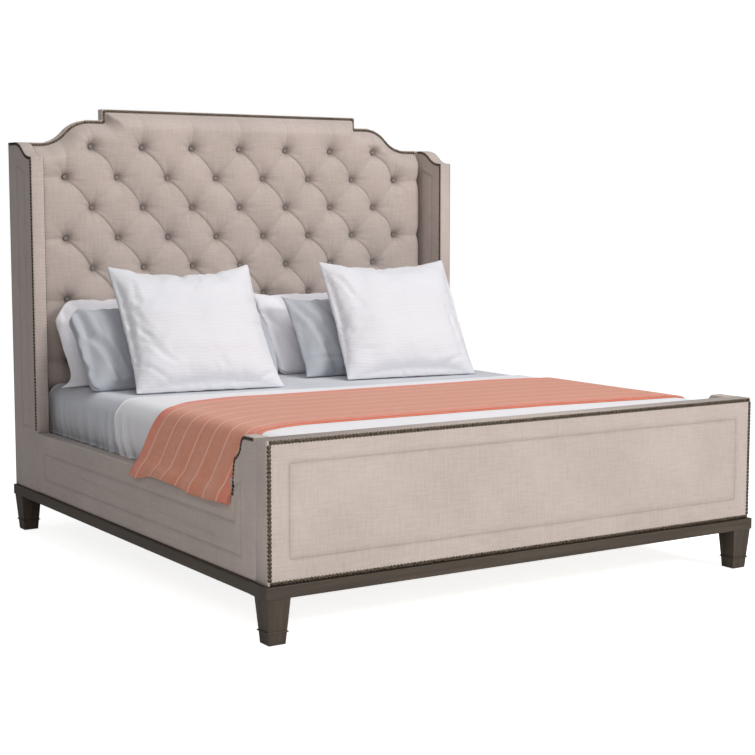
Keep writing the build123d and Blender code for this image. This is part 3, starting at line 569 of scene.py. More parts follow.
def railOutline():
    foot, head = bed["footboardBackY"], bed["wingFrontY"]
    turns = [(foot + railShape["crest"], bed["footWingZ"])]
    for run, fall in railShape["falls"]:
        turns.append((turns[-1][0] + run, turns[-1][1] - fall))
    crest, hollow, shelf, neck = turns
    line = [(foot, bed["baseTopZ"]), (head, bed["baseTopZ"]), (head, bed["railTopZ"]),
            (neck[0] + railShape["root"], bed["railTopZ"])]
    for start, end, bulge in zip((neck, shelf, hollow), (shelf, hollow, crest), railShape["bulges"]):
        line += bowed(start, end, bulge)[:-1]
    return line + [crest, (foot, bed["footWingZ"])]


def railPanel():
    low = bed["baseTopZ"] + railShape["panelLow"]
    high = low + railShape["panelHeight"]
    front = bed["footboardBackY"] + railShape["panelFoot"]
    head = bed["wingFrontY"] - railShape["panelHead"]
    neck = front + railShape["panelNeck"]
    slopeLow, slopeHigh = (low + rise for rise in railShape["panelRises"])
    return [(front, low), (head, low), (head, high), (neck, high), (neck, slopeLow), (front, slopeHigh)]


def wingPanel():
    front, back = bed["wingFrontY"] + wingShape["panelFront"], bed["padEdgeY"] - wingShape["panelBack"]
    low, high = bed["railTopZ"] + wingShape["panelLow"], bed["shoulderZ"] - wingShape["panelHigh"]
    return [(front, low), (back, low), (back, high + wingShape["panelSlope"]), (front, high)]


def roundedRectangle(halfWidth, low, high, radius, steps=6):
    points = []
    for cx, cz, start in ((halfWidth, low, -90), (halfWidth, high, 0), (-halfWidth, high, 90),
                          (-halfWidth, low, 180)):
        sx, sz = math.copysign(1, cx), (1 if cz == high else -1)
        for turn in np.radians(np.linspace(start, start + 90, steps)):
            points.append((cx - sx * radius + radius * math.cos(turn),
                           cz - sz * radius + radius * math.sin(turn)))
    return points


# Upholstered walls: both faces of an outline, rounded at the edges, with a sewn panel raised on them.
# Seams give depth and reach

wallLook = {
    "insets": (0.0006, 0.0016, 0.0030, 0.0055, 0.009, 0.014, 0.022, 0.035),
    "seamSteps": (0.0012, 0.0035, 0.007, 0.012, 0.019, 0.028),
    "gridStep": 0.034, "gridGap": 0.012, "puff": 0.0012, "puffReach": 0.03,
    "ripple": 0.0006, "rippleSize": 0.33, "rippleReach": 0.05, "ripples": 7, "rippleShares": (0.5, 1.4),
    "panelLift": 0.0052, "seamWidth": 0.050, "seamPower": 1.15, "frontSeam": (0.0080, 0.0120),
    # The last entry of the next line gives the strength and reach of the painted shade along the seams
    "sideSeam": (0.0088, 0.0150), "seamPaintedShade": (0.26, 0.0050),
}


def roundDrop(depth, radius):
    inside = np.clip(depth, 0, radius)
    return radius - np.sqrt(np.maximum(radius * radius - (radius - inside) ** 2, 0))


def ripples(points, size, seed):
    a = points * (2 * math.pi / size)
    value = np.zeros(len(points))
    random = np.random.default_rng(seed)
    count = wallLook["ripples"]
    for turn, phase, share in zip(random.uniform(0, 2 * math.pi, count), random.uniform(0, 7, count),
                                  random.uniform(*wallLook["rippleShares"], count)):
        value += np.sin(share * (a[:, 0] * math.cos(turn) + a[:, 1] * math.sin(turn)) + phase)
    return value / count


def wallLoops(outline, seam, ring):
    loops = [outline] + [insetLoop(outline, step) for step in wallLook["insets"]]
    if ring:
        loops.append(insetLoop(outline, ring))
    if seam is not None:
        loops.append(seam)
        for step in wallLook["seamSteps"]:
            loops += [insetLoop(seam, step), insetLoop(seam, -step)]
    return loops


def triangleTurn(points, face):
    a, b, c = (points[i] for i in face[:3])
    return (b[0] - a[0]) * (c[1] - a[1]) - (b[1] - a[1]) * (c[0] - a[0])


def wallFace(outline, seam, ring):
    spots, edges = [], []
    for loop in wallLoops(outline, seam, ring):
        first = len(spots)
        spots += [Vector(p) for p in loop]
        edges += [(first + i, first + (i + 1) % len(loop)) for i in range(len(loop))]
    if not ring:
        low, high, step = outline.min(0), outline.max(0), wallLook["gridStep"]
        inner = np.stack(np.meshgrid(np.arange(low[0] + step, high[0], step),
                                     np.arange(low[1] + step, high[1], step)), -1).reshape(-1, 2)
        spots += [Vector(p) for p in inner[toLines(inner, outline) > wallLook["gridGap"]]]
    made = delaunay_2d_cdt(spots, edges, [list(range(len(outline)))], 1, 1e-6)
    points = np.array([tuple(p) for p in made[0]])
    faces = [list(face) for face in made[2]]
    if ring:
        near = toLines(np.array([points[face].mean(0) for face in faces]), outline) < ring
        faces = [face for face, keep in zip(faces, near) if keep]
    used = sorted({i for face in faces for i in face})
    renamed = {old: new for new, old in enumerate(used)}
    points, faces = points[used], [[renamed[i] for i in face] for face in faces]
    return points, [face if triangleTurn(points, face) > 0 else face[::-1] for face in faces]


def wallRise(points, outline, radius, baseRound, seed, seamGap, seamShape):
    depth = toLines(points, outline)
    drop = roundDrop(depth, radius)
    if baseRound:
        drop = np.maximum(drop, roundDrop(points[:, 1] - outline[:, 1].min(), baseRound))
    up = wallLook["puff"] * (1 - np.exp(-depth / wallLook["puffReach"])) - drop
    up += (wallLook["ripple"] * ripples(points, wallLook["rippleSize"], seed)
           * np.clip(depth / wallLook["rippleReach"], 0, 1))
    if seamGap is not None:
        deep, reach = seamShape
        near = np.clip(1 - seamGap / wallLook["seamWidth"], 0, 1)
        up += wallLook["panelLift"] * near ** 2 * (3 - 2 * near)
        up -= deep * np.exp(-(seamGap / reach) ** wallLook["seamPower"]) * np.clip(near * 3, 0, 1)
    return up


def wall(name, stands, outline, span, axis, radii, seed, seam=None, seamFaces=(0, 1), ring=None,
         baseRound=0.0, look="linen", slot="linen"):
    outline = np.asarray(outline, float)
    seam = None if seam is None else np.asarray(seam, float)
    points, faces = wallFace(outline, seam, ring)
    count = len(points)
    gap = None if seam is None else toLines(points, seam)
    low, high = (wallRise(points, outline, radius, baseRound, seed + index,
                          gap if index in seamFaces else None,
                          wallLook["sideSeam" if axis == 0 else "frontSeam"])
                 for index, radius in enumerate(radii))
    front = np.insert(points, axis, span[1] + high, 1)
    back = np.insert(points, axis, span[0] - low, 1)
    if axis:
        faces = [face[::-1] for face in faces]
    bottom = [[i + count for i in face[::-1]] for face in faces]
    rims = [[b, a, a + count, b + count] for a, b in openSides(faces)]
    # Painted shade: darker along the sewn seam on the faces that carry it
    paintedShade = np.zeros(2 * count)
    if seam is not None:
        share, reach = wallLook["seamPaintedShade"]
        for index, start in ((1, 0), (0, count)):
            if index in seamFaces:
                paintedShade[start:start + count] = share * np.exp(-gap / reach)
    piece(name, np.concatenate([front, back]), faces + bottom + rims, boxFlat, look, slot,
          frameBody, (stands,), paintedShade)


def endOutline(halfWidth, low, high):
    return [(-halfWidth, low), (halfWidth, low), (halfWidth, high), (-halfWidth, high)]


for side, way in (("left", -1), ("right", 1)):
    spanX = sorted((way * bed["innerX"], way * bed["outerX"]))
    outerFace = 1 if way > 0 else 0
    wall("rail_upholstery_" + side, "rail_cover_" + side, railOutline(), spanX, 0, (0.006, 0.006), 11 + way,
         railPanel(), (outerFace,), baseRound=0.010)
    wall("wing_upholstery_" + side, "wing_cover_" + side, wingOutline(), spanX, 0, (0.006, 0.006), 21 + way,
         wingPanel())
wall("footboard_upholstery", "footboard_cover", endOutline(bed["outerX"], bed["baseTopZ"], bed["footWingZ"]),
     (bed["frontY"], bed["footboardBackY"]), 1, (0.006, 0.005), 31, roundedRectangle(**footPanel), (0,))
wall("headboard_edge", "headboard_border", headboardOutline(bed["innerX"], bed["baseTopZ"]),
     (bed["padEdgeY"], bed["clothFrontY"]), 1, (0.003, 0.002), 41, ring=0.016)
wall("headboard_dust_cover", "headboard_back_cloth", headboardOutline(bed["outerX"], bed["baseTopZ"]),
     (bed["clothFrontY"] + 0.0005, bed["rearY"]), 1, (0.0002, 0.0006), 51, look="dust", slot="dust_cloth")
print("walls made")


# Buttoned pad: a height field over the headboard whose folds lie on the mesh's own edges

# Pleats: depth, reach and power. Falls: reach and power of the rounding at the top, sides and bottom
pad = {
    "columns": 18, "rows": 18, "pitch": 0.241286, "rowPitch": 0.131571, "topRowZ": 1.656, "buttonRows": 8,
    "evenButtons": 7, "bottomZ": 0.600, "backY": 1.1020, "backMiddleZ": 1.1, "sideGap": 0.0004,
    "outlineWide": 0.05, "trimWide": 0.016, "falls": ((0.075, 0.85), (0.066, 0.5), (0.052, 0.5)),
    "edgeLift": 0.009, "least": 0.001, "edgeShare": 0.25, "keepPast": -0.012,
    "foldBelow": 0.1, "foldSideX": 1.1, "pleat": (0.0135, 0.115, 2.4), "softPleat": (0.0085, 0.085, 1.9),
    "edgePleat": (0.0085, 0.060, 2.6), "overlap": 0.35, "groove": (0.0042, 0.0028),
    "funnel": (0.0215, 0.0135, 0.008), "bowl": (0.0110, 0.042, 1.5), "pinch": (0.0032, 9, 0.030),
    "pinchTurn": 2.4, "pinchStart": (0.016, 0.5), "pinchFull": 0.02, "bow": (0.0085, 0.0078),
    "sideDraw": (0.012, 0.030, 1.5, 0.06),
    "swingPlaces": (0, 0.35, 0.65), "swings": (0.30, 0.48, 0.80), "swingWave": (0.10, 5.1, 3.3),
    "cornerSwing": (0.50, 1.5, 0.50, 0.15),
    # Painted shade: strength and reach along the pleats and the edge pleats, then strength, start and reach
    # around the buttons
    "pleatPaintedShade": (0.50, 0.0018), "edgePleatPaintedShade": (0.12, 0.002), "buttonPaintedShade": (0.70, 0.010, 0.011),
}


def padButtons():
    spots = []
    for row in range(pad["buttonRows"]):
        count = pad["evenButtons"] + row % 2
        z = pad["topRowZ"] - row * pad["rowPitch"]
        spots += [(row, (column - (count - 1) / 2) * pad["pitch"], z) for column in range(count)]
    return spots


def padFolds():
    half = pad["pitch"] / 2
    known = {(round(x / half), row) for row, x, _ in padButtons()}
    crisp, soft, edge = [], [], []
    for row, x, z in padButtons():
        column = round(x / half)
        for way in (-1, 1):
            if (column + way, row + 1) in known:
                (crisp if way > 0 else soft).append(((x, z), (x + way * half, z - pad["rowPitch"])))
        atSide = abs(column) == pad["evenButtons"]
        if row == 0 or (row == 1 and atSide):
            edge.append(((x, z), (x, bed["topZ"])))
        if row == pad["buttonRows"] - 1:
            edge.append(((x, z), (x, pad["bottomZ"] - pad["foldBelow"])))
        if atSide:
            edge.append(((x, z), (math.copysign(pad["foldSideX"], x), z)))
    return crisp, soft, edge


def pleatDepth(spots, lines, key):
    deep, reach, power = pad[key]
    left, nearest = np.ones(len(spots)), np.ones(len(spots))
    for line in lines:
        gap = toLines(spots, line, False)
        left *= 1 - np.clip(1 - gap / reach, 0, 1) ** power
        nearest = np.minimum(nearest, gap)
    return deep * (1 - left), nearest


def topAt(x):
    x = np.abs(x)
    curve = np.array(ogee((bed["shoulderX"], bed["shoulderZ"]), (bed["shelfX"], bed["shelfZ"]), 24))[::-1]
    return np.where(x <= bed["stepX"], bed["topZ"], np.interp(x, curve[:, 0], curve[:, 1]))


def edgeGaps(spots):
    outline = headboardOutline(bed["innerX"] + pad["outlineWide"], 0.0)
    under = spots[:, 1] < topAt(spots[:, 0])
    toTop = toLines(spots, outline) * np.where(under, 1, -1) - pad["trimWide"]
    return toTop, bed["innerX"] - np.abs(spots[:, 0]), spots[:, 1] - pad["bottomZ"]


def edgeLift(gaps):
    lift = np.ones(len(gaps[0]))
    for gap, (reach, power) in zip(gaps, pad["falls"]):
        rise = np.maximum(1 - (1 - np.clip(gap / reach, 0, 1)) ** 2, 0) ** power
        lift *= rise * (1 - pad["least"]) + pad["least"]
    return lift


def tuftDepth(spots, folds):
    crisp, soft, edge = folds
    depth, nearFold = pleatDepth(spots, crisp, "pleat")
    softDepth, _ = pleatDepth(spots, soft, "softPleat")
    edgeDepth, nearEdgeFold = pleatDepth(spots, edge, "edgePleat")
    depth = np.maximum(depth, softDepth) + pad["overlap"] * np.minimum(depth, softDepth) + edgeDepth
    depth += pad["groove"][0] * np.exp(-nearFold / pad["groove"][1])
    away = spots[:, None] - np.array([(x, z) for _, x, z in padButtons()])
    gaps = np.hypot(away[:, :, 0], away[:, :, 1])
    nearest, toButton = gaps.argmin(1), gaps.min(1)
    deep, reach, flatRound = pad["funnel"]
    depth += deep * np.exp(-np.maximum(toButton - flatRound, 0) / reach)
    deep, reach, power = pad["bowl"]
    depth += deep * np.exp(-(toButton / reach) ** power)
    away = away[np.arange(len(spots)), nearest]
    angle = np.arctan2(away[:, 1], away[:, 0])
    deep, count, reach = pad["pinch"]
    soft, start = pad["pinchStart"]
    pinch = np.cos(count * angle + pad["pinchTurn"] * nearest) * np.clip(toButton / soft - start, 0, 1)
    depth += deep * pinch * np.exp(-np.maximum(toButton - pad["pinchFull"], 0) / reach)
    return depth, nearFold, nearEdgeFold, toButton


def tuftBow(spots):
    x, columns = spots[:, 0], spots[:, 0] / (pad["pitch"] / 2)
    rows = (pad["topRowZ"] - spots[:, 1]) / pad["rowPitch"]
    bow = np.sin(math.pi * ((columns + rows) / 2)) ** 2 * np.cos(math.pi * ((columns - rows) / 2)) ** 2
    inner = np.clip(rows * 3, 0, 1) * np.clip((pad["evenButtons"] - np.abs(columns)) * 2, 0, 1)
    wave, turnX, turnZ = pad["swingWave"]
    swing = np.interp(x, pad["swingPlaces"], pad["swings"]) + wave * np.sin(turnX * x + turnZ * spots[:, 1])
    more, row, start, reach = pad["cornerSwing"]
    swing += more * np.clip(row - rows, 0, 1) * np.clip((-x - start) / reach, 0, 1)
    return bow * inner * swing


def padPoints(spots, gaps, lift, depth, edge):
    crown = bed["panelFrontY"] - bed["padFrontY"] - pad["edgeLift"]
    high = pad["edgeLift"] + crown * lift - depth * np.clip(pad["edgeShare"] + lift, 0, 1)
    high = np.where(gaps[0] < -pad["least"], pad["least"], np.maximum(high, pad["least"]))
    draw, reach, power, wide = pad["sideDraw"]
    sideways = [toLines(spots, line, False) for line in edge if line[0][1] == line[1][1]]
    drawn = draw * np.exp(-(np.minimum.reduce(sideways) / reach) ** power)
    drawn *= np.clip(1 - gaps[1] / wide, 0, 1)
    bow = tuftBow(spots)
    shift = pad["bow"][0] * bow - np.sign(spots[:, 0]) * drawn
    return np.column_stack([spots[:, 0] + shift, bed["panelFrontY"] - high,
                            spots[:, 1] + pad["bow"][1] * bow])


# Each cell is cut along the diagonal that its fold follows
def padFaces(keep, columns, down):
    nz, nx = keep.shape
    faces = []
    for j in range(nz - 1):
        for i in range(nx - 1):
            if not keep[j:j + 2, i:i + 2].any():
                continue
            a, d = j * nx + i, (j + 1) * nx + i
            rising = ((i - 1 - columns) // pad["columns"] + (j - down) // pad["rows"]) % 2
            faces += [[a, a + 1, d], [a + 1, d + 1, d]] if rising else [[a, a + 1, d + 1], [a, d + 1, d]]
    return faces


def makePad():
    dx, dz = pad["pitch"] / 2 / pad["columns"], pad["rowPitch"] / pad["rows"]
    columns, side = int(bed["innerX"] / dx), bed["innerX"] - pad["sideGap"]
    up, down = int((bed["topZ"] - pad["topRowZ"]) / dz), int((pad["topRowZ"] - pad["bottomZ"]) / dz)
    x = np.concatenate([[-side], np.arange(-columns, columns + 1) * dx, [side]])
    gx, gz = np.meshgrid(x, pad["topRowZ"] + np.arange(-down, up + 1) * dz)
    spots = np.stack([gx.ravel(), gz.ravel()], 1)
    gaps, folds = edgeGaps(spots), padFolds()
    lift = edgeLift(gaps)
    depth, nearFold, nearEdgeFold, toButton = tuftDepth(spots, folds)
    points = padPoints(spots, gaps, lift, depth, folds[2])
    # Painted shade: darker along the pleats and edge pleats, and in a halo around each button
    (share, reach), (edgeShare, edgeReach) = pad["pleatPaintedShade"], pad["edgePleatPaintedShade"]
    paintedShadeMark = np.maximum(share * np.exp(-nearFold / reach) * np.clip(lift, 0, 1),
                      edgeShare * np.exp(-nearEdgeFold / edgeReach))
    share, start, reach = pad["buttonPaintedShade"]
    paintedShadeMark = np.maximum(paintedShadeMark, share * np.exp(-np.maximum(toButton - start, 0) / reach))
    faces = padFaces((gaps[0] > pad["keepPast"]).reshape(gx.shape), columns, down)
    rims = openSides(faces)
    ring = {a: len(points) + k for k, (a, _) in enumerate(rims)}
    centre = len(points) + len(rims)
    faces += [[b, a, ring[a], ring[b]] for a, b in rims] + [[ring[b], ring[a], centre] for a, b in rims]
    back = [(points[a][0], pad["backY"], points[a][2]) for a, _ in rims]
    points = np.concatenate([points, back, [[0, pad["backY"], pad["backMiddleZ"]]]])
    paintedShadeMark = np.concatenate([paintedShadeMark, np.zeros(len(rims) + 1)])
    made = piece("tufted_pad", points, faces, points[:, [0, 2]], "linen", "linen", frameBody,
                 ("headboard_pad",), paintedShadeMark)


makePad()
print("pad made")


# Domed heads: nails and covered buttons, placed where the frame's own heads are

# Each shape: radius, height, skirt, rings and sides of one head. The shade is how much painted shade darkens
# its cloth
heads = {
    "nail": {"shape": (0.0069, 0.0029, 0.0036, 4, 12), "shade": 0.0},
    "footNail": {"shape": (0.0078, 0.0032, 0.0036, 4, 12), "shade": 0.0},
    "button": {"shape": (0.0100, 0.0054, 0.0060, 6, 20), "shade": 0.82},
}
# The second value makes each head's top lighter, as painted light
headLook = {"innerHeight": 0.4, "topPaintedLight": 0.2}


# The low and high corners of every separate solid in a frame node
def islands(name):
    mesh = nodes[name].data
    mesh.calc_loop_triangles()
    points = readValues(mesh.vertices, "co", 3)
    _, same = np.unique(np.round(points, 5), axis=0, return_inverse=True)
    same = same.ravel()
    triangles = same[readValues(mesh.loop_triangles, "vertices", 3, np.int32)]
    label, before = np.arange(same.max() + 1), None
    while before is None or (label != before).any():
        low = label[triangles].min(1)
        before = label.copy()
        for k in range(3):
            np.minimum.at(label, triangles[:, k], low)
        label = label[label]
    owner = label[same]
    groups = [points[owner == key] for key in np.unique(owner)]
    return [(own.min(0), own.max(0)) for own in groups]


def domeShape(radius, height, skirt, rings, around):
    shape = bmesh.new()
    bmesh.ops.create_uvsphere(shape, u_segments=around, v_segments=2 * rings, radius=1)
    everything = shape.verts[:] + shape.edges[:] + shape.faces[:]
    bmesh.ops.bisect_plane(shape, geom=everything, dist=1e-5, plane_co=(0, 0, 0), plane_no=(0, 0, 1),
                           clear_inner=True)
    bmesh.ops.scale(shape, vec=(radius, radius, height), verts=shape.verts)
    rim = bmesh.ops.extrude_edge_only(shape, edges=[edge for edge in shape.edges if edge.is_boundary])
    lower = [item for item in rim["geom"] if isinstance(item, bmesh.types.BMVert)]
    bmesh.ops.translate(shape, vec=(0, 0, -skirt), verts=lower)
    bmesh.ops.edgeloop_fill(shape, edges=[edge for edge in shape.edges if edge.is_boundary])
    return readMesh(shape)


def domes(name, source, head, look, slot):
    points, faces, paintedShade, start = [], [], [], 0
    radius, height, skirt, rings, around = heads[head]["shape"]
    shapes = [domeShape(radius, height * share, skirt, rings, around)
              for share in (1, headLook["innerHeight"])]
    for low, high in islands(source):
        middle = (low + high) / 2
        axis = int((high - low).argmin())
        inward = axis == 0 and abs(middle[0]) < (bed["innerX"] + bed["outerX"]) / 2
        way = -1 if axis == 1 else math.copysign(1, middle[0]) * (-1 if inward else 1)
        shape, shapeFaces = shapes[inward]
        facing = Vector((way, 0, 0)) if axis == 0 else Vector((0, way, 0))
        turn = np.array(facing.to_track_quat("Z", "Y").to_matrix())
        middle[axis] = low[axis] if way > 0 else high[axis]
        points.append(shape @ turn.T + middle)
        faces += [[start + i for i in face] for face in shapeFaces]
        start += len(shape)
        # Painted shade on each head, lightened towards its top as painted light
        paintedTopLight = headLook["topPaintedLight"] * np.clip(shape[:, 2] / height, 0, 1)
        paintedShade.append(heads[head]["shade"] * (1 - paintedTopLight))
    piece(name, np.concatenate(points), faces, boxFlat, look, slot, frameBody, (source,),
          np.concatenate(paintedShade))


for part, head in (("headboard", "nail"), ("wing", "nail"), ("rail", "nail"), ("footboard", "footNail")):
    domes(part + "_nail_heads", part + "_nails", head, "nail", "bronze_nails")
domes("covered_buttons", "headboard_buttons", "button", "linen", "linen")
print("nails made")


# Carried-over frame nodes get their own materials

woods = {
    "darkX": ("base_front", "base_rear"), "darkY": ("base_left", "base_right"),
    "darkZ": ("leg_front_left", "leg_front_right", "leg_rear_left", "leg_rear_right"),
    "plainX": ("slats", "footboard_front_panel", "footboard_back_panel", "footboard_cross_rails",
               "headboard_cross_rails", "headboard_panel"),
    "plainY": ("centre_beam", "rail_core_left", "rail_core_right"),
    "plainZ": ("centre_legs", "wing_core_left", "wing_core_right", "footboard_uprights", "headboard_stiles"),
    "steel": ("leg_bolts", "beam_plates", "beam_screws", "threaded_inserts", "slat_screws", "foot_brackets",
              "head_plates", "bracket_bolts", "levelling_foot_front", "levelling_foot_middle",
              "levelling_foot_rear"),
    "plastic": ("leg_glides",),
}
for look, names in woods.items():
    for name in names:
        nodes[name].data.materials.clear()
        nodes[name].data.materials.append(looks[look])


# Mattress and foundation: rounded blocks whose sides swell a little

blocks = {
    "low_foundation": {"half": 0.960, "low": 0.217, "high": 0.347, "corner": 0.040, "edge": 0.006,
                       "stands": ("foundation",), "fill": 1.0},
    "mattress_block": {"half": 0.9595, "low": 0.3473, "high": 0.6396, "corner": 0.060, "edge": 0.045,
                       "stands": ("mattress",), "fill": 0.9},
}
blockLook = {"cornerSteps": 12, "edgeSteps": 6, "cuts": 9, "cutEnds": (0.1, 0.9), "swell": 0.004,
             "upright": 0.01}


def softBlock(name, half, low, high, corner, edge, stands, fill):
    shape = bmesh.new()
    bmesh.ops.create_cube(shape, size=1)
    foot, head = bed["mattressFootY"], bed["mattressHeadY"]
    bmesh.ops.scale(shape, vec=(2 * half, head - foot, high - low), verts=shape.verts)
    bmesh.ops.translate(shape, vec=(0, (foot + head) / 2, (low + high) / 2), verts=shape.verts)
    rounds = ((True, corner, blockLook["cornerSteps"]), (False, edge, blockLook["edgeSteps"]))
    for upright, offset, steps in rounds:
        chosen = [e for e in shape.edges
                  if (abs(e.verts[0].co.z - e.verts[1].co.z) > blockLook["upright"]) == upright]
        bmesh.ops.bevel(shape, geom=chosen, offset=offset, segments=steps, affect="EDGES", profile=0.5,
                        material=-1)
    tall = high - low - 2 * edge
    for share in np.linspace(*blockLook["cutEnds"], blockLook["cuts"]):
        everything = shape.verts[:] + shape.edges[:] + shape.faces[:]
        bmesh.ops.bisect_plane(shape, geom=everything, plane_co=(0, 0, low + edge + tall * share),
                               plane_no=(0, 0, 1))
    shape.normal_update()
    for v in shape.verts:
        share = min(max((v.co.z - low - edge) / tall, 0), 1)
        v.co += Vector((v.normal.x, v.normal.y, 0)) * blockLook["swell"] * math.sin(math.pi * share)
    made = piece(name, *readMesh(shape), boxFlat, "ticking", "ticking", "mattress_set", stands)


for name, block in blocks.items():
    softBlock(name, **block)


# Bedclothes: flat cloth wrapped over the mattress's edges, with folds where it hangs

# Each hanging fold: its width and share. The head's slant: places in X, then how far the edge moves in Y
drape = {
    "step": 0.014, "lengthStep": 0.010, "hem": 0.440, "cornerRadius": 0.058, "hangStart": 0.6,
    "folds": ((0.23, 0.24), (0.125, 0.34), (0.071, 0.42)), "foldReach": 0.8, "foldSide": 0.02, "lean": 0.06,
    "swerve": (0.02, 11), "ridge": 0.8, "patch": (0.35, 0.65), "patchTurns": (3, 6), "gather": 0.27,
    "slantReach": 0.5, "coveredShare": 0.4, "coveredSoft": 0.05, "bulgePower": 0.85, "bandSoft": 0.004,
}
sheets = {
    "fitted_sheet_cloth": {
        "look": "white", "slot": "white_cotton", "stands": "fitted_sheet", "seed": 61, "grow": 0.001,
        "headY": 0.990, "folds": 0.0, "bulge": 0.0, "thickness": 0.0014, "restsOn": "mattress_block"},
    "blanket_cloth": {
        "look": "blue", "slot": "blue_cotton", "stands": "blanket", "seed": 62, "grow": 0.0042,
        "headY": 0.960, "folds": 0.042, "bulge": 0.008, "thickness": 0.004, "coveredY": 0.235,
        "wave": 0.0012, "waveTurns": (9, 2, 7, 13, 4), "waveStart": 0.24, "waveReach": 0.2,
        "restsOn": "fitted_sheet_cloth"},
    "coverlet_cloth": {
        "look": "coverletWhite", "slot": "ribbed_white", "stands": "coverlet", "seed": 62, "grow": 0.0098,
        "headY": 0.205, "folds": 0.042, "bulge": 0.009, "thickness": 0.005, "restsOn": "blanket_cloth",
        "band": 0.030, "bandThickness": 0.001,
        "headSlant": ((-1.25, -1.1, -1.0, -0.85, -0.5, 0, 0.5, 1.25),
                      (-0.045, 0.020, 0.030, 0.045, -0.02, -0.065, -0.080, -0.085))},
}


# Flat places, the cloth's points, its way outwards in X and its share of the way down
def wrapped(cloth):
    grow, radius = cloth["grow"], drape["cornerRadius"] + cloth["grow"]
    top = bed["mattressTopZ"] + grow
    edgeX, edgeY = bed["mattressX"] + grow - radius, bed["mattressFootY"] - grow + radius
    bend = radius * math.pi / 2
    hang = bend + top - radius - drape["hem"]
    halfX = edgeX + hang
    x = np.linspace(-halfX, halfX, int(2 * halfX / drape["step"]))
    y = np.linspace(edgeY - hang, cloth["headY"], int((cloth["headY"] - edgeY + hang) / drape["lengthStep"]))
    gx, gy = np.meshgrid(x, y, indexing="ij")
    outX, outY = np.maximum(np.abs(gx) - edgeX, 0), np.maximum(edgeY - gy, 0)
    far = np.maximum(outX, outY)
    turn = np.minimum(outX, outY) / np.maximum(far, 1e-9) * math.pi / 4
    turn = np.where(outX >= outY, turn, math.pi / 2 - turn)
    angle = np.clip(far / radius, 0, math.pi / 2)
    reach = radius * np.sin(angle)
    z = top - radius * (1 - np.cos(angle)) - np.maximum(far - bend, 0)
    px = np.sign(gx) * (np.minimum(np.abs(gx), edgeX) + reach * np.cos(turn))
    py = np.maximum(gy, edgeY) - reach * np.sin(turn)
    start = bend * drape["hangStart"]
    down = np.clip((far - start) / (hang - start), 0, 1)
    return gx, gy, np.stack([px, py, z], 2), np.cos(turn) * np.sign(gx), down


def hangFolds(gx, gy, down, seed, amount):
    random = np.random.default_rng(seed)
    along = np.where(np.abs(gx) > bed["mattressX"] - drape["foldSide"], gy, gx)
    value = np.zeros_like(gx)
    swerve, turns = drape["swerve"]
    least, more = drape["patch"]
    for wide, share in drape["folds"]:
        phase, lean = random.uniform(0, 7), random.uniform(-drape["lean"], drape["lean"])
        run = along + lean * down + swerve * np.sin(along * turns + phase)
        ridge = 1 - np.abs(np.sin(math.pi * run / wide + phase)) ** drape["ridge"]
        patch = least + more * np.sin(along * random.uniform(*drape["patchTurns"]) + phase) ** 2
        value += share * ridge * patch
    gathered = least + more * np.exp(-((along - drape["gather"]) / drape["gather"]) ** 2)
    return amount * gathered * value * down ** drape["foldReach"]


def makeSheet(name, cloth):
    gx, gy, points, wayX, down = wrapped(cloth)
    if "headSlant" in cloth:
        reach = drape["slantReach"]
        near = np.clip((gy - cloth["headY"] + reach) / reach, 0, 1)
        points[:, :, 1] += near * np.interp(gx, *cloth["headSlant"])
    folds = hangFolds(gx, gy, down, cloth["seed"], cloth["folds"])
    if "coveredY" in cloth:
        covered = np.clip((cloth["coveredY"] - gy) / drape["coveredSoft"], 0, 1)
        folds *= 1 - drape["coveredShare"] * covered
    points[:, :, 0] += wayX * (folds + cloth["bulge"] * np.sin(math.pi * down ** drape["bulgePower"]))
    if "wave" in cloth:
        head = np.clip((gy - cloth["waveStart"]) / cloth["waveReach"], 0, 1)
        acrossX, amount, swerveY, alongY, leanX = cloth["waveTurns"]
        wave = (np.sin(gx * acrossX + amount * np.sin(gy * swerveY))
                * np.sin(gy * alongY + gx * leanX))
        points[:, :, 2] += cloth["wave"] * wave * head * (down <= 0)
    thick = np.full(gx.shape, cloth["thickness"])
    if "band" in cloth:
        band = np.clip((gy - (cloth["headY"] - cloth["band"])) / drape["bandSoft"], 0, 1)
        thick += cloth["bandThickness"] * band
    shell, faces = clothShell(points, thick)
    flat = np.stack([gx.ravel(), gy.ravel()], 1)
    made = piece(name, shell, faces, np.concatenate([flat, flat]), cloth["look"], cloth["slot"],
                 "mattress_set", (cloth["stands"],))
    print(name, "flat", round(float(np.ptp(gx)), 3), round(float(np.ptp(gy)), 3))


for name, cloth in sheets.items():
    makeSheet(name, cloth)
print("bedclothes made")


# Throw: a smooth path over the mattress edge and the rail, widened across its length

# Rail steps: out and up from the rail's top. Hang: where it starts and how long it is, in the side's share
throwPath = {
    "flatX": 0.800, "flatSteps": 90, "lieZ": 0.6568, "centreX": 0.915, "centreZ": 0.595, "radius": 0.0618,
    "turnDegrees": 52, "turnSteps": 9, "railX": 1.0655, "railZ": 0.458,
    "railSteps": ((-0.018, 0.0135), (-0.0045, 0.0020)), "flareX": (1.0695, 1.0720), "hemZ": 0.408,
    "step": 0.010, "across": 72, "hemPlace": 1.3, "pathRounds": 3, "edgeRounds": 5,
    "wave": 0.0075, "waves": 4, "swerve": (0.8, 9), "waveHang": (0.35, 0.65), "wavePower": 1.4,
    "ripple": 0.0016, "rippleTurns": (7, 23), "rippleBase": 0.3, "hemHang": (0.84, 0.16),
    "thickness": 0.0060, "hemThicker": 0.0016, "hemWide": 0.018, "hemSoft": 0.003,
}
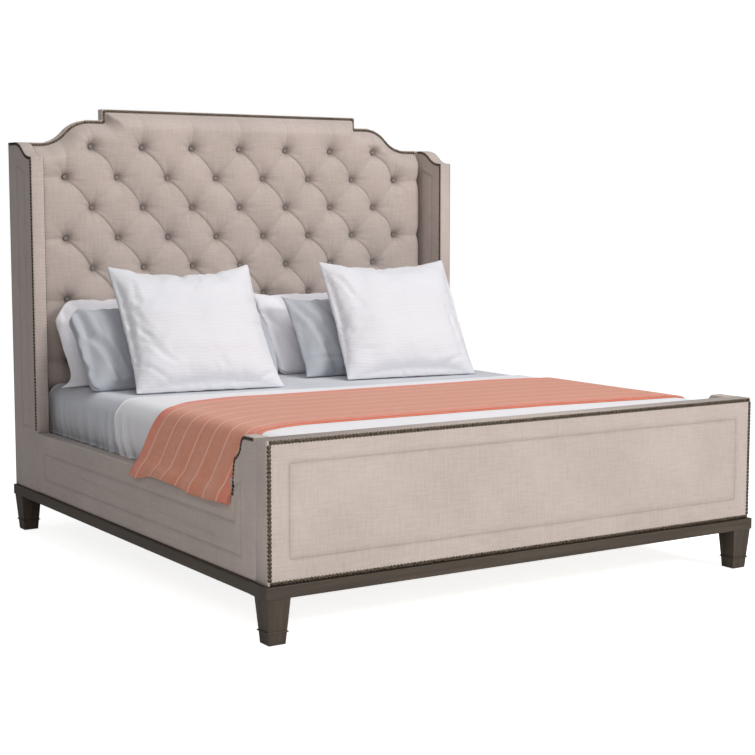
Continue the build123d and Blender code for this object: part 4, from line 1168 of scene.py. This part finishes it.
# Places of the throw's two long edges: how far along the throw from its middle, then Y.
# The hem's lift: share across the throw from its head edge, then height
throwEdges = {
    "back": [(-1.3, -0.100), (-1.26, -0.124), (-1.21, -0.132), (-1.12, -0.124), (-1.05, -0.120),
             (-1.0, -0.135), (-0.965, -0.146), (-0.93, -0.130), (-0.89, -0.100), (-0.85, -0.064),
             (-0.80, -0.036), (-0.72, -0.004), (-0.58, 0.026), (-0.40, 0.004), (0, -0.004),
             (0.40, -0.022), (0.65, -0.022), (0.85, -0.072), (1.0, -0.095), (1.3, -0.075)],
    "front": [(-1.3, -0.893), (-1.1, -0.888), (-0.95, -0.868), (-0.84, -0.815), (-0.72, -0.785),
              (-0.5, -0.793), (0, -0.808), (0.35, -0.828), (0.78, -0.878), (0.93, -0.890),
              (1.05, -0.880), (1.3, -0.873)],
    "hemLift": [(0, 0.004), (0.12, 0.004), (0.22, 0.024), (0.36, 0.027), (0.52, 0.021), (0.64, 0.012),
                (0.78, 0.010), (0.88, 0.016), (1, 0.018)],
}


def alongEdge(key, place):
    return np.interp(place, *np.array(throwEdges[key]).T)


def sidePath():
    p = throwPath
    points = [(p["flatX"], p["lieZ"])]
    for turn in np.radians(np.linspace(0, p["turnDegrees"], p["turnSteps"])):
        points.append((p["centreX"] + p["radius"] * math.sin(turn),
                       p["centreZ"] + p["radius"] * math.cos(turn)))
    points += [(p["railX"] + out, p["railZ"] + up) for out, up in p["railSteps"]]
    points += zip(p["flareX"], ((p["railZ"] + p["hemZ"]) / 2, p["hemZ"]))
    line = np.array(points)
    gaps = runLengths(line)
    spots = np.linspace(0, gaps[-1], int(gaps[-1] / p["step"]))
    even = np.stack([np.interp(spots, gaps, line[:, k]) for k in (0, 1)], 1)
    smoothLine(even, p["pathRounds"])
    return even


# How far the cloth swings out from its path
def throwSwing(across, shares, line):
    p = throwPath
    amount, turns = p["swerve"]
    wave = (1 - np.cos(2 * math.pi * p["waves"] * across + amount * np.sin(turns * across))) / 2
    start, reach = p["waveHang"]
    swing = p["wave"] * wave * np.clip((shares - start) / reach, 0, 1)[:, None] ** p["wavePower"]
    turnsY, turnsX = p["rippleTurns"]
    ripple = p["ripple"] * np.sin(turnsY * across + turnsX * line[:, :1])
    ripple = ripple * (p["rippleBase"] + shares[:, None])
    return swing + np.maximum(ripple, 0) * (across * (1 - across) * 4)


def makeThrow():
    p = throwPath
    side = sidePath()
    middle = np.linspace(-p["flatX"], p["flatX"], p["flatSteps"])[1:-1]
    line = np.concatenate([side[::-1] * np.array([-1, 1]),
                           np.stack([middle, np.full(len(middle), p["lieZ"])], 1), side])
    gaps, down, flatPart = runLengths(line), np.linspace(0, 1, len(side)), np.zeros(len(middle))
    shares = np.concatenate([np.linspace(1, 0, len(side)), flatPart, down])
    signs = np.concatenate([-np.ones(len(side)), flatPart, np.ones(len(side))])
    place = np.where(signs == 0, line[:, 0], signs * (p["flatX"] + shares * (p["hemPlace"] - p["flatX"])))
    tangent = np.gradient(line, axis=0)
    tangent /= np.linalg.norm(tangent, axis=1, keepdims=True)
    across = np.linspace(0, 1, p["across"])
    backY, frontY = alongEdge("back", place), alongEdge("front", place)
    smoothLine(backY, p["edgeRounds"])
    smoothLine(frontY, p["edgeRounds"])
    swing = throwSwing(across, shares, line)
    start, reach = p["hemHang"]
    hang = np.clip((shares - start) / reach, 0, 1)[:, None]
    points = np.stack([line[:, :1] - tangent[:, 1:] * swing,
                       backY[:, None] + (frontY - backY)[:, None] * across,
                       line[:, 1:] + tangent[:, :1] * swing + alongEdge("hemLift", across) * hang], 2)
    hem = np.minimum(gaps, gaps[-1] - gaps)
    thick = np.full(points.shape[:2], p["thickness"])
    thick += p["hemThicker"] * np.clip(1 - (hem - p["hemWide"]) / p["hemSoft"], 0, 1)[:, None]
    shell, faces = clothShell(points, thick, True)
    flat = np.stack([np.repeat(gaps, p["across"]), np.tile(across * throwLook["width"], len(line))], 1)
    made = piece("coral_throw", shell, faces, np.concatenate([flat, flat]), "throw", "coral_weave",
                 "throw_blanket", ("throw",))


makeThrow()


# Pillows: two panels joined at the rim, blown up by simulation, then fitted to the frame's solids

# Each side: draws of the left, right, top and bottom edge, cuts of the corners clockwise from the top
# left, lean at the bottom and top, and creases as start, end, depth and width
pillows = {
    "white": {
        "size": (0.890, 0.450), "y": 0.870, "z": 0.8288, "look": "white", "slot": "white_cotton", "turn": 0,
        "fill": 0.6, "pressure": 5.0, "grid": (76, 40),
        "left": {
            "x": -0.498, "draws": (-0.006, 0.016, 0.028, 0.004), "cuts": (0.110, 0.04, 0.04, -0.082),
            "lean": (0, 0), "creases": [((-0.40, 0.20), (-0.20, -0.12), 0.010, 0.014),
                                        ((-0.44, -0.02), (-0.25, -0.16), 0.008, 0.012)]},
        "right": {
            "x": 0.474, "draws": (0.010, 0.016, 0.032, 0.004), "cuts": (0.020, 0.04, 0.04, 0.04),
            "lean": (0, 0), "creases": [((-0.36, 0.20), (-0.25, -0.15), 0.010, 0.014),
                                        ((-0.44, 0.12), (-0.33, -0.14), 0.008, 0.011)]}},
    "blue": {
        "size": (0.860, 0.440), "y": 0.6757, "z": 0.8254, "look": "bluePillow", "slot": "blue_cotton",
        "turn": 0, "fill": 0.55, "pressure": 4.0, "grid": (76, 40),
        "left": {
            "x": -0.520, "draws": (0.004, -0.034, 0.058, 0.003), "cuts": (0.090, 0.02, 0.02, 0.04),
            "lean": (0, 0),
            "creases": [((-0.42, 0.20), (-0.38, 0.03), 0.018, 0.013),
                        ((-0.38, 0.03), (-0.30, -0.17), 0.024, 0.014),
                        ((-0.345, 0.15), (-0.335, -0.02), 0.008, 0.008),
                        ((-0.335, -0.02), (-0.295, -0.19), 0.012, 0.009),
                        ((-0.27, 0.20), (-0.255, -0.15), 0.008, 0.013),
                        ((-0.08, 0.20), (-0.10, -0.10), 0.008, 0.016)]},
        "right": {
            "x": 0.522, "draws": (0.004, 0.016, 0.040, 0.003), "cuts": (-0.016, 0.04, 0.04, -0.012),
            "lean": (-0.028, -0.008),
            "creases": [((-0.40, 0.18), (-0.28, -0.20), 0.020, 0.014),
                        ((-0.32, 0.21), (-0.16, -0.14), 0.016, 0.012),
                        ((-0.24, 0.15), (-0.05, -0.20), 0.010, 0.014),
                        ((-0.40, -0.14), (-0.18, -0.17), 0.012, 0.010)]}},
    "square": {
        "size": (0.630, 0.630), "y": 0.5150, "z": 0.9007, "look": "ribbedWhite", "slot": "ribbed_white",
        "turn": -7, "fill": 0.7, "pressure": 6.0, "grid": (60, 60),
        "left": {
            "x": -0.490, "draws": (0.012, 0.016, 0.074, 0.003), "cuts": (0.016, 0.016, -0.016, -0.006),
            "lean": (-0.003, -0.012),
            "creases": [((-0.295, 0.10), (-0.22, -0.05), 0.008, 0.010),
                        ((-0.290, 0.01), (-0.19, -0.15), 0.009, 0.010),
                        ((-0.275, -0.09), (-0.15, -0.21), 0.009, 0.010),
                        ((-0.29, -0.20), (-0.18, -0.28), 0.007, 0.008),
                        ((0.20, -0.29), (0.30, -0.25), 0.008, 0.007),
                        ((-0.25, 0.20), (-0.235, 0.08), 0.005, 0.009)]},
        "right": {
            "x": 0.492, "draws": (0.010, 0.004, 0.060, 0.003), "cuts": (0.012, 0.014, -0.010, 0),
            "lean": (0.002, 0.030),
            "creases": [((-0.27, 0.20), (-0.19, 0.02), 0.007, 0.010),
                        ((-0.29, 0.02), (-0.08, 0.03), 0.006, 0.010),
                        ((-0.27, -0.10), (-0.17, -0.05), 0.007, 0.010),
                        ((-0.29, -0.20), (-0.12, -0.20), 0.006, 0.009),
                        ((0.26, -0.28), (0.22, 0.0), 0.006, 0.010),
                        ((0.12, -0.29), (0.28, -0.24), 0.007, 0.008)]}},
}
pillowLook = {
    "tiltDegrees": 37, "panelPower": 6, "rough": 0.0008, "panelRises": (0.022, -0.018),
    "squareBow": 2.2, "longBow": 8, "cornerPower": 8, "rimLift": 0.0035, "rimTurns": (9, 16),
    "plainPower": 2.6, "plainRound": 0.62, "plainHigh": 0.11, "plainDraw": 0.045,
    "simulated": 0.55, "frames": 22, "rimHigh": 0.0024, "rimRise": 0.026, "rimReach": 0.035, "inside": 0.0004,
    "creaseSway": (0.5, 5, 9), "creaseFade": (0.55, 0.45), "creaseBank": (0.3, 2.1), "creaseShare": 0.8,
    "pucker": 0.0011, "puckerWidths": (0.062, 0.041, 0.029), "puckerUnit": 0.05, "puckerReach": 0.16,
    "puckerStart": 0.03, "broad": 0.0009, "broadCount": 6, "broadWidths": (0.09, 0.24), "broadStart": 0.2,
    "creasedFrom": 0.006, "creasedLeast": 0.004, "restGap": 0.0006, "end": 0.999, "rayHeight": 0.5,
    "seed": 71, "wrinkleSeed": 40,
}
clothSolver = {"quality": 5, "mass": 0.25, "tension_stiffness": 22, "compression_stiffness": 14,
               "shear_stiffness": 6, "bending_stiffness": 0.35, "air_damping": 4, "use_pressure": True}


# Both panels share the rim's points
def pillowPanels(size, grid, seed):
    nx, ny = grid
    random = np.random.default_rng(seed)
    gu, gv = np.meshgrid(np.linspace(-1, 1, nx), np.linspace(-1, 1, ny), indexing="ij")
    power = pillowLook["panelPower"]
    bulge = np.maximum((1 - gu ** power) * (1 - gv ** power), 0) ** 0.5
    rough = random.normal(0, pillowLook["rough"], gu.shape)
    flat = np.stack([gu * size[0] / 2, gv * size[1] / 2], 2)
    front, back = (np.dstack([flat, rise * bulge + rough * bulge]).reshape(-1, 3)
                   for rise in pillowLook["panelRises"])
    inside = np.zeros((nx, ny), bool)
    inside[1:-1, 1:-1] = True
    inside = inside.ravel()
    frontIndex = np.arange(nx * ny)
    backIndex = frontIndex.copy()
    backIndex[inside] = nx * ny + np.arange(inside.sum())
    flat = flat.reshape(-1, 2)
    tables = frontIndex.reshape(nx, ny), backIndex.reshape(nx, ny)
    faces = []
    for table, step in zip(tables, (1, -1)):
        quads = np.stack([table[:-1, :-1], table[1:, :-1], table[1:, 1:], table[:-1, 1:]], -1).reshape(-1, 4)
        faces += quads[:, ::step].tolist()
    return np.concatenate([front, back[inside]]), faces, np.concatenate([flat, flat[inside]]), tables


def rimTarget(size, draws, cuts, u, v):
    left, right, top, bottom = draws
    x, y = u * size[0] / 2, v * size[1] / 2
    square = pillowLook["squareBow"]
    bowU = 1 - np.abs(u) ** (square if size[0] == size[1] else pillowLook["longBow"])
    bowV = 1 - np.abs(v) ** square
    end = pillowLook["end"]
    y -= np.where(v > end, top * bowU, 0) - np.where(v < -end, bottom * bowU, 0)
    x -= np.where(u > end, right * bowV, 0) - np.where(u < -end, left * bowV, 0)
    for cut, signU, signV in zip(cuts, (-1, 1, 1, -1), (1, 1, -1, -1)):
        over = cut - (size[0] / 2 - signU * x) - (size[1] / 2 - signV * y)
        over = np.maximum(over, 0) / 2
        corner = np.clip(u * signU, 0, 1) * np.clip(v * signV, 0, 1)
        out = max(-cut, 0) * corner ** pillowLook["cornerPower"]
        x, y = x - signU * (over - out), y - signV * over
    return np.stack([x, y], -1)


# Moves the rim to its target and blends that move over the panels
def shapeRim(shape, tables, size, draws, cuts, seed):
    u, v = (np.linspace(-1, 1, count) for count in tables[0].shape)
    random = np.random.default_rng(seed)
    waves = [(random.uniform(*pillowLook["rimTurns"]), random.uniform(0, 7)) for _ in range(4)]
    lines = (tables[0][:, 0], tables[0][:, -1], tables[0][0], tables[0][-1])
    gaps = []
    for k, (line, (turns, phase)) in enumerate(zip(lines, waves)):
        run = u if k < 2 else v
        end = np.full(len(run), (-1.0, 1.0)[k % 2])
        wanted = rimTarget(size, draws, cuts, *((run, end) if k < 2 else (end, run)))
        lift = pillowLook["rimLift"] * np.sin(turns * run + phase) * (1 - run ** 2)
        gaps.append(np.column_stack([wanted - shape[line][:, :2], lift - shape[line][:, 2]]))
    low, high, left, right = gaps
    wu = [((1 - u) / 2)[:, None, None], ((1 + u) / 2)[:, None, None]]
    wv = [((1 - v) / 2)[None, :, None], ((1 + v) / 2)[None, :, None]]
    move = wv[0] * low[:, None] + wv[1] * high[:, None] + wu[0] * left[None] + wu[1] * right[None]
    move -= (wu[0] * wv[0] * low[0] + wu[1] * wv[0] * low[-1]
             + wu[0] * wv[1] * high[0] + wu[1] * wv[1] * high[-1])
    shaped = shape.copy()
    for table in tables:
        shaped[table] = shape[table] + move
    return shaped


def inflate(points, faces, pressure):
    mesh = bpy.data.meshes.new("blown")
    mesh.from_pydata(points.tolist(), [], faces)
    made = addObject("blown", mesh)
    settings = made.modifiers.new("cloth", "CLOTH").settings
    for key, value in clothSolver.items():
        setattr(settings, key, value)
    settings.uniform_pressure_force = pressure
    settings.effector_weights.gravity = 0
    scene.frame_start, scene.frame_end = 1, pillowLook["frames"]
    for step in range(1, pillowLook["frames"] + 1):
        scene.frame_set(step)
    shown = made.evaluated_get(bpy.context.evaluated_depsgraph_get()).to_mesh()
    blown = readValues(shown.vertices, "co", 3)
    bpy.data.objects.remove(made)
    scene.frame_set(1)
    return blown


def plainBlow(points, size):
    u, v = points[:, 0] / size[0] * 2, points[:, 1] / size[1] * 2
    power = pillowLook["plainPower"]
    bulge = np.maximum((1 - np.abs(u) ** power) * (1 - np.abs(v) ** power), 0) ** pillowLook["plainRound"]
    blown = points.copy()
    blown[:, 2] = np.sign(points[:, 2]) * bulge * pillowLook["plainHigh"]
    for axis, along, other in ((0, u, v), (1, v, u)):
        drawn = pillowLook["plainDraw"] * (1 - np.abs(other) ** 2)
        blown[:, axis] -= np.sign(along) * drawn * np.abs(along) ** 3
    return blown


def pillowPose(style, x):
    turn = Matrix.Rotation(math.radians(style["turn"]), 4, "Z")
    tilt = Matrix.Rotation(-math.radians(pillowLook["tiltDegrees"]), 4, "X")
    stand = Matrix.Rotation(math.radians(90), 4, "X")
    return Matrix.Translation((x, style["y"], style["z"])) @ turn @ tilt @ stand


# Keeps a pillow inside the frame's own solid, but never thinner than its rim
def capTo(points, name, pose, flat, size):
    mesh = nodes[name].data
    back = pose.inverted()
    mesh.calc_loop_triangles()
    tree = BVHTree.FromPolygons([back @ v.co for v in mesh.vertices],
                                [tuple(t.vertices) for t in mesh.loop_triangles])
    inward = np.minimum(size[0] / 2 - np.abs(flat[:, 0]), size[1] / 2 - np.abs(flat[:, 1]))
    least = pillowLook["rimHigh"] + pillowLook["rimRise"] * (1 - np.exp(-inward / pillowLook["rimReach"]))
    capped = points.copy()
    for i, (x, y, z) in enumerate(points):
        side = 1 if z >= 0 else -1
        hit = tree.ray_cast(Vector((x, y, side * pillowLook["rayHeight"])), Vector((0, 0, -side)))[0]
        solid = abs(hit.z) - pillowLook["inside"] if hit is not None and hit.z * side > 0 else 0.0
        limit = max(solid, least[i])
        if abs(z) > limit:
            capped[i, 2] = side * limit
    return capped


def creases(points, lines):
    depth = np.zeros(len(points))
    share, turns, shift = pillowLook["creaseSway"]
    least, more = pillowLook["creaseFade"]
    bank, bankPlace = pillowLook["creaseBank"]
    for start, end, deep, wide in lines:
        way = np.array(end) - np.array(start)
        along = ((points[:, :2] - start) @ way) / (way @ way)
        sway = share * wide * np.sin(turns * along + shift * start[0])
        side = np.array([-way[1], way[0]]) / np.hypot(*way)
        gap = toLines(points[:, :2] + sway[:, None] * side, [start, end], False)
        fade = least + more * np.sin(math.pi * np.clip(along, 0, 1))
        dip = np.exp(-(gap / wide) ** 2) - bank * np.exp(-((gap - bankPlace * wide) / wide) ** 2)
        depth += fade * deep * dip
    return pillowLook["creaseShare"] * depth


def wrinkles(flat, size, seed):
    random = np.random.default_rng(seed)
    u, v = flat[:, 0] / size[0] * 2, flat[:, 1] / size[1] * 2
    toEdge = 1 - np.maximum(np.abs(u), np.abs(v))
    run = np.where(np.abs(u) > np.abs(v), v * size[1], u * size[0])
    puckers, broad = np.zeros(len(flat)), np.zeros(len(flat))
    for wide in pillowLook["puckerWidths"]:
        puckers += np.sin(run * 2 * math.pi / wide + random.uniform(0, 7)) * wide / pillowLook["puckerUnit"]
    puckers *= (pillowLook["pucker"] * np.exp(-toEdge / pillowLook["puckerReach"])
                * np.clip(toEdge / pillowLook["puckerStart"], 0, 1))
    for _ in range(pillowLook["broadCount"]):
        turn, wide = random.uniform(0, math.pi), random.uniform(*pillowLook["broadWidths"])
        phase = random.uniform(0, 7)
        run = flat[:, 0] * math.cos(turn) + flat[:, 1] * math.sin(turn)
        broad += np.sin(run * 2 * math.pi / wide + phase)
    return puckers + pillowLook["broad"] * broad * np.clip(toEdge / pillowLook["broadStart"], 0, 1)


def subdivided(points, faces, flat):
    made = addObject("smoothing", flatMesh("smoothing", points, faces, flat))
    more = made.modifiers.new("more", "SUBSURF")
    more.levels = more.render_levels = 1
    shown = bpy.data.meshes.new_from_object(made.evaluated_get(bpy.context.evaluated_depsgraph_get()))
    newFlat = np.zeros((len(shown.vertices), 2))
    corner = readValues(shown.loops, "vertex_index", kind=np.int32)
    newFlat[corner] = readValues(shown.uv_layers["flat"].data, "uv", 2)
    bpy.data.objects.remove(made)
    return readValues(shown.vertices, "co", 3), [list(f.vertices) for f in shown.polygons], newFlat


def makePillow(kind, side, seed):
    style, own = pillows[kind], pillows[kind][side]
    name, size = f"{kind}_pillow_{side}", style["size"]
    pose = pillowPose(style, own["x"])
    points, faces, flat, tables = pillowPanels(size, style["grid"], seed)
    shape = plainBlow(points, size)
    blown = inflate(points, faces, style["pressure"])
    blown[:, 2] *= np.ptp(shape[:, 2]) / np.ptp(blown[:, 2])
    shape = (1 - pillowLook["simulated"]) * shape + pillowLook["simulated"] * blown
    shape = shapeRim(shape, tables, size, own["draws"], own["cuts"], seed)
    local = [(pose.inverted() @ v.co).z for v in nodes[name].data.vertices]
    high, low = max(local) / shape[:, 2].max(), min(local) / shape[:, 2].min()
    shape[:, 2] *= np.where(shape[:, 2] > 0, high, low)
    shape = capTo(shape, name, pose, flat, size)
    depth = creases(shape, own["creases"]) + np.abs(wrinkles(flat, size, seed + pillowLook["wrinkleSeed"]))
    depth = np.minimum(depth, shape[:, 2] - pillowLook["creasedLeast"])
    shape[:, 2] -= np.where(shape[:, 2] > pillowLook["creasedFrom"], depth, 0)
    low, high = own["lean"]
    shape[:, 0] += low + (high - low) * (shape[:, 1] / size[1] + 0.5)
    points, faces, flat = subdivided(shape, faces, flat)
    placed = points @ np.array(pose.to_3x3()).T + np.array(pose.translation)
    placed[:, 2] = np.maximum(placed[:, 2], bed["blanketTopZ"] + pillowLook["restGap"])
    made = piece(name + "_filled", placed, faces, flat, style["look"], style["slot"], name + "_body",
                 (name,))


for order, (kind, side) in enumerate((k, s) for k in pillows for s in ("left", "right")):
    makePillow(kind, side, pillowLook["seed"] + order)
    print("pillow", kind, side)


# Floor

floorLook = {"half": 14, "tone": (0.9, 0.9, 0.9, 1), "rough": 0.9, "glow": (1, 1, 1, 1), "glowSeen": 0.84}


def makeFloor():
    half = floorLook["half"]
    mesh = bpy.data.meshes.new("floor")
    mesh.from_pydata([(-half, -half, 0), (half, -half, 0), (half, half, 0), (-half, half, 0)], [],
                     [[0, 1, 2, 3]])
    material, tree, surface = newMaterial("paleFloor")
    seen = node(tree, "LightPath").outputs["Is Camera Ray"]
    feed(tree, surface, {"Base Color": floorLook["tone"], "Roughness": floorLook["rough"],
                         "Emission Color": floorLook["glow"],
                         "Emission Strength": times(tree, seen, floorLook["glowSeen"])})
    mesh.materials.append(material)
    addObject("floor", mesh)


makeFloor()
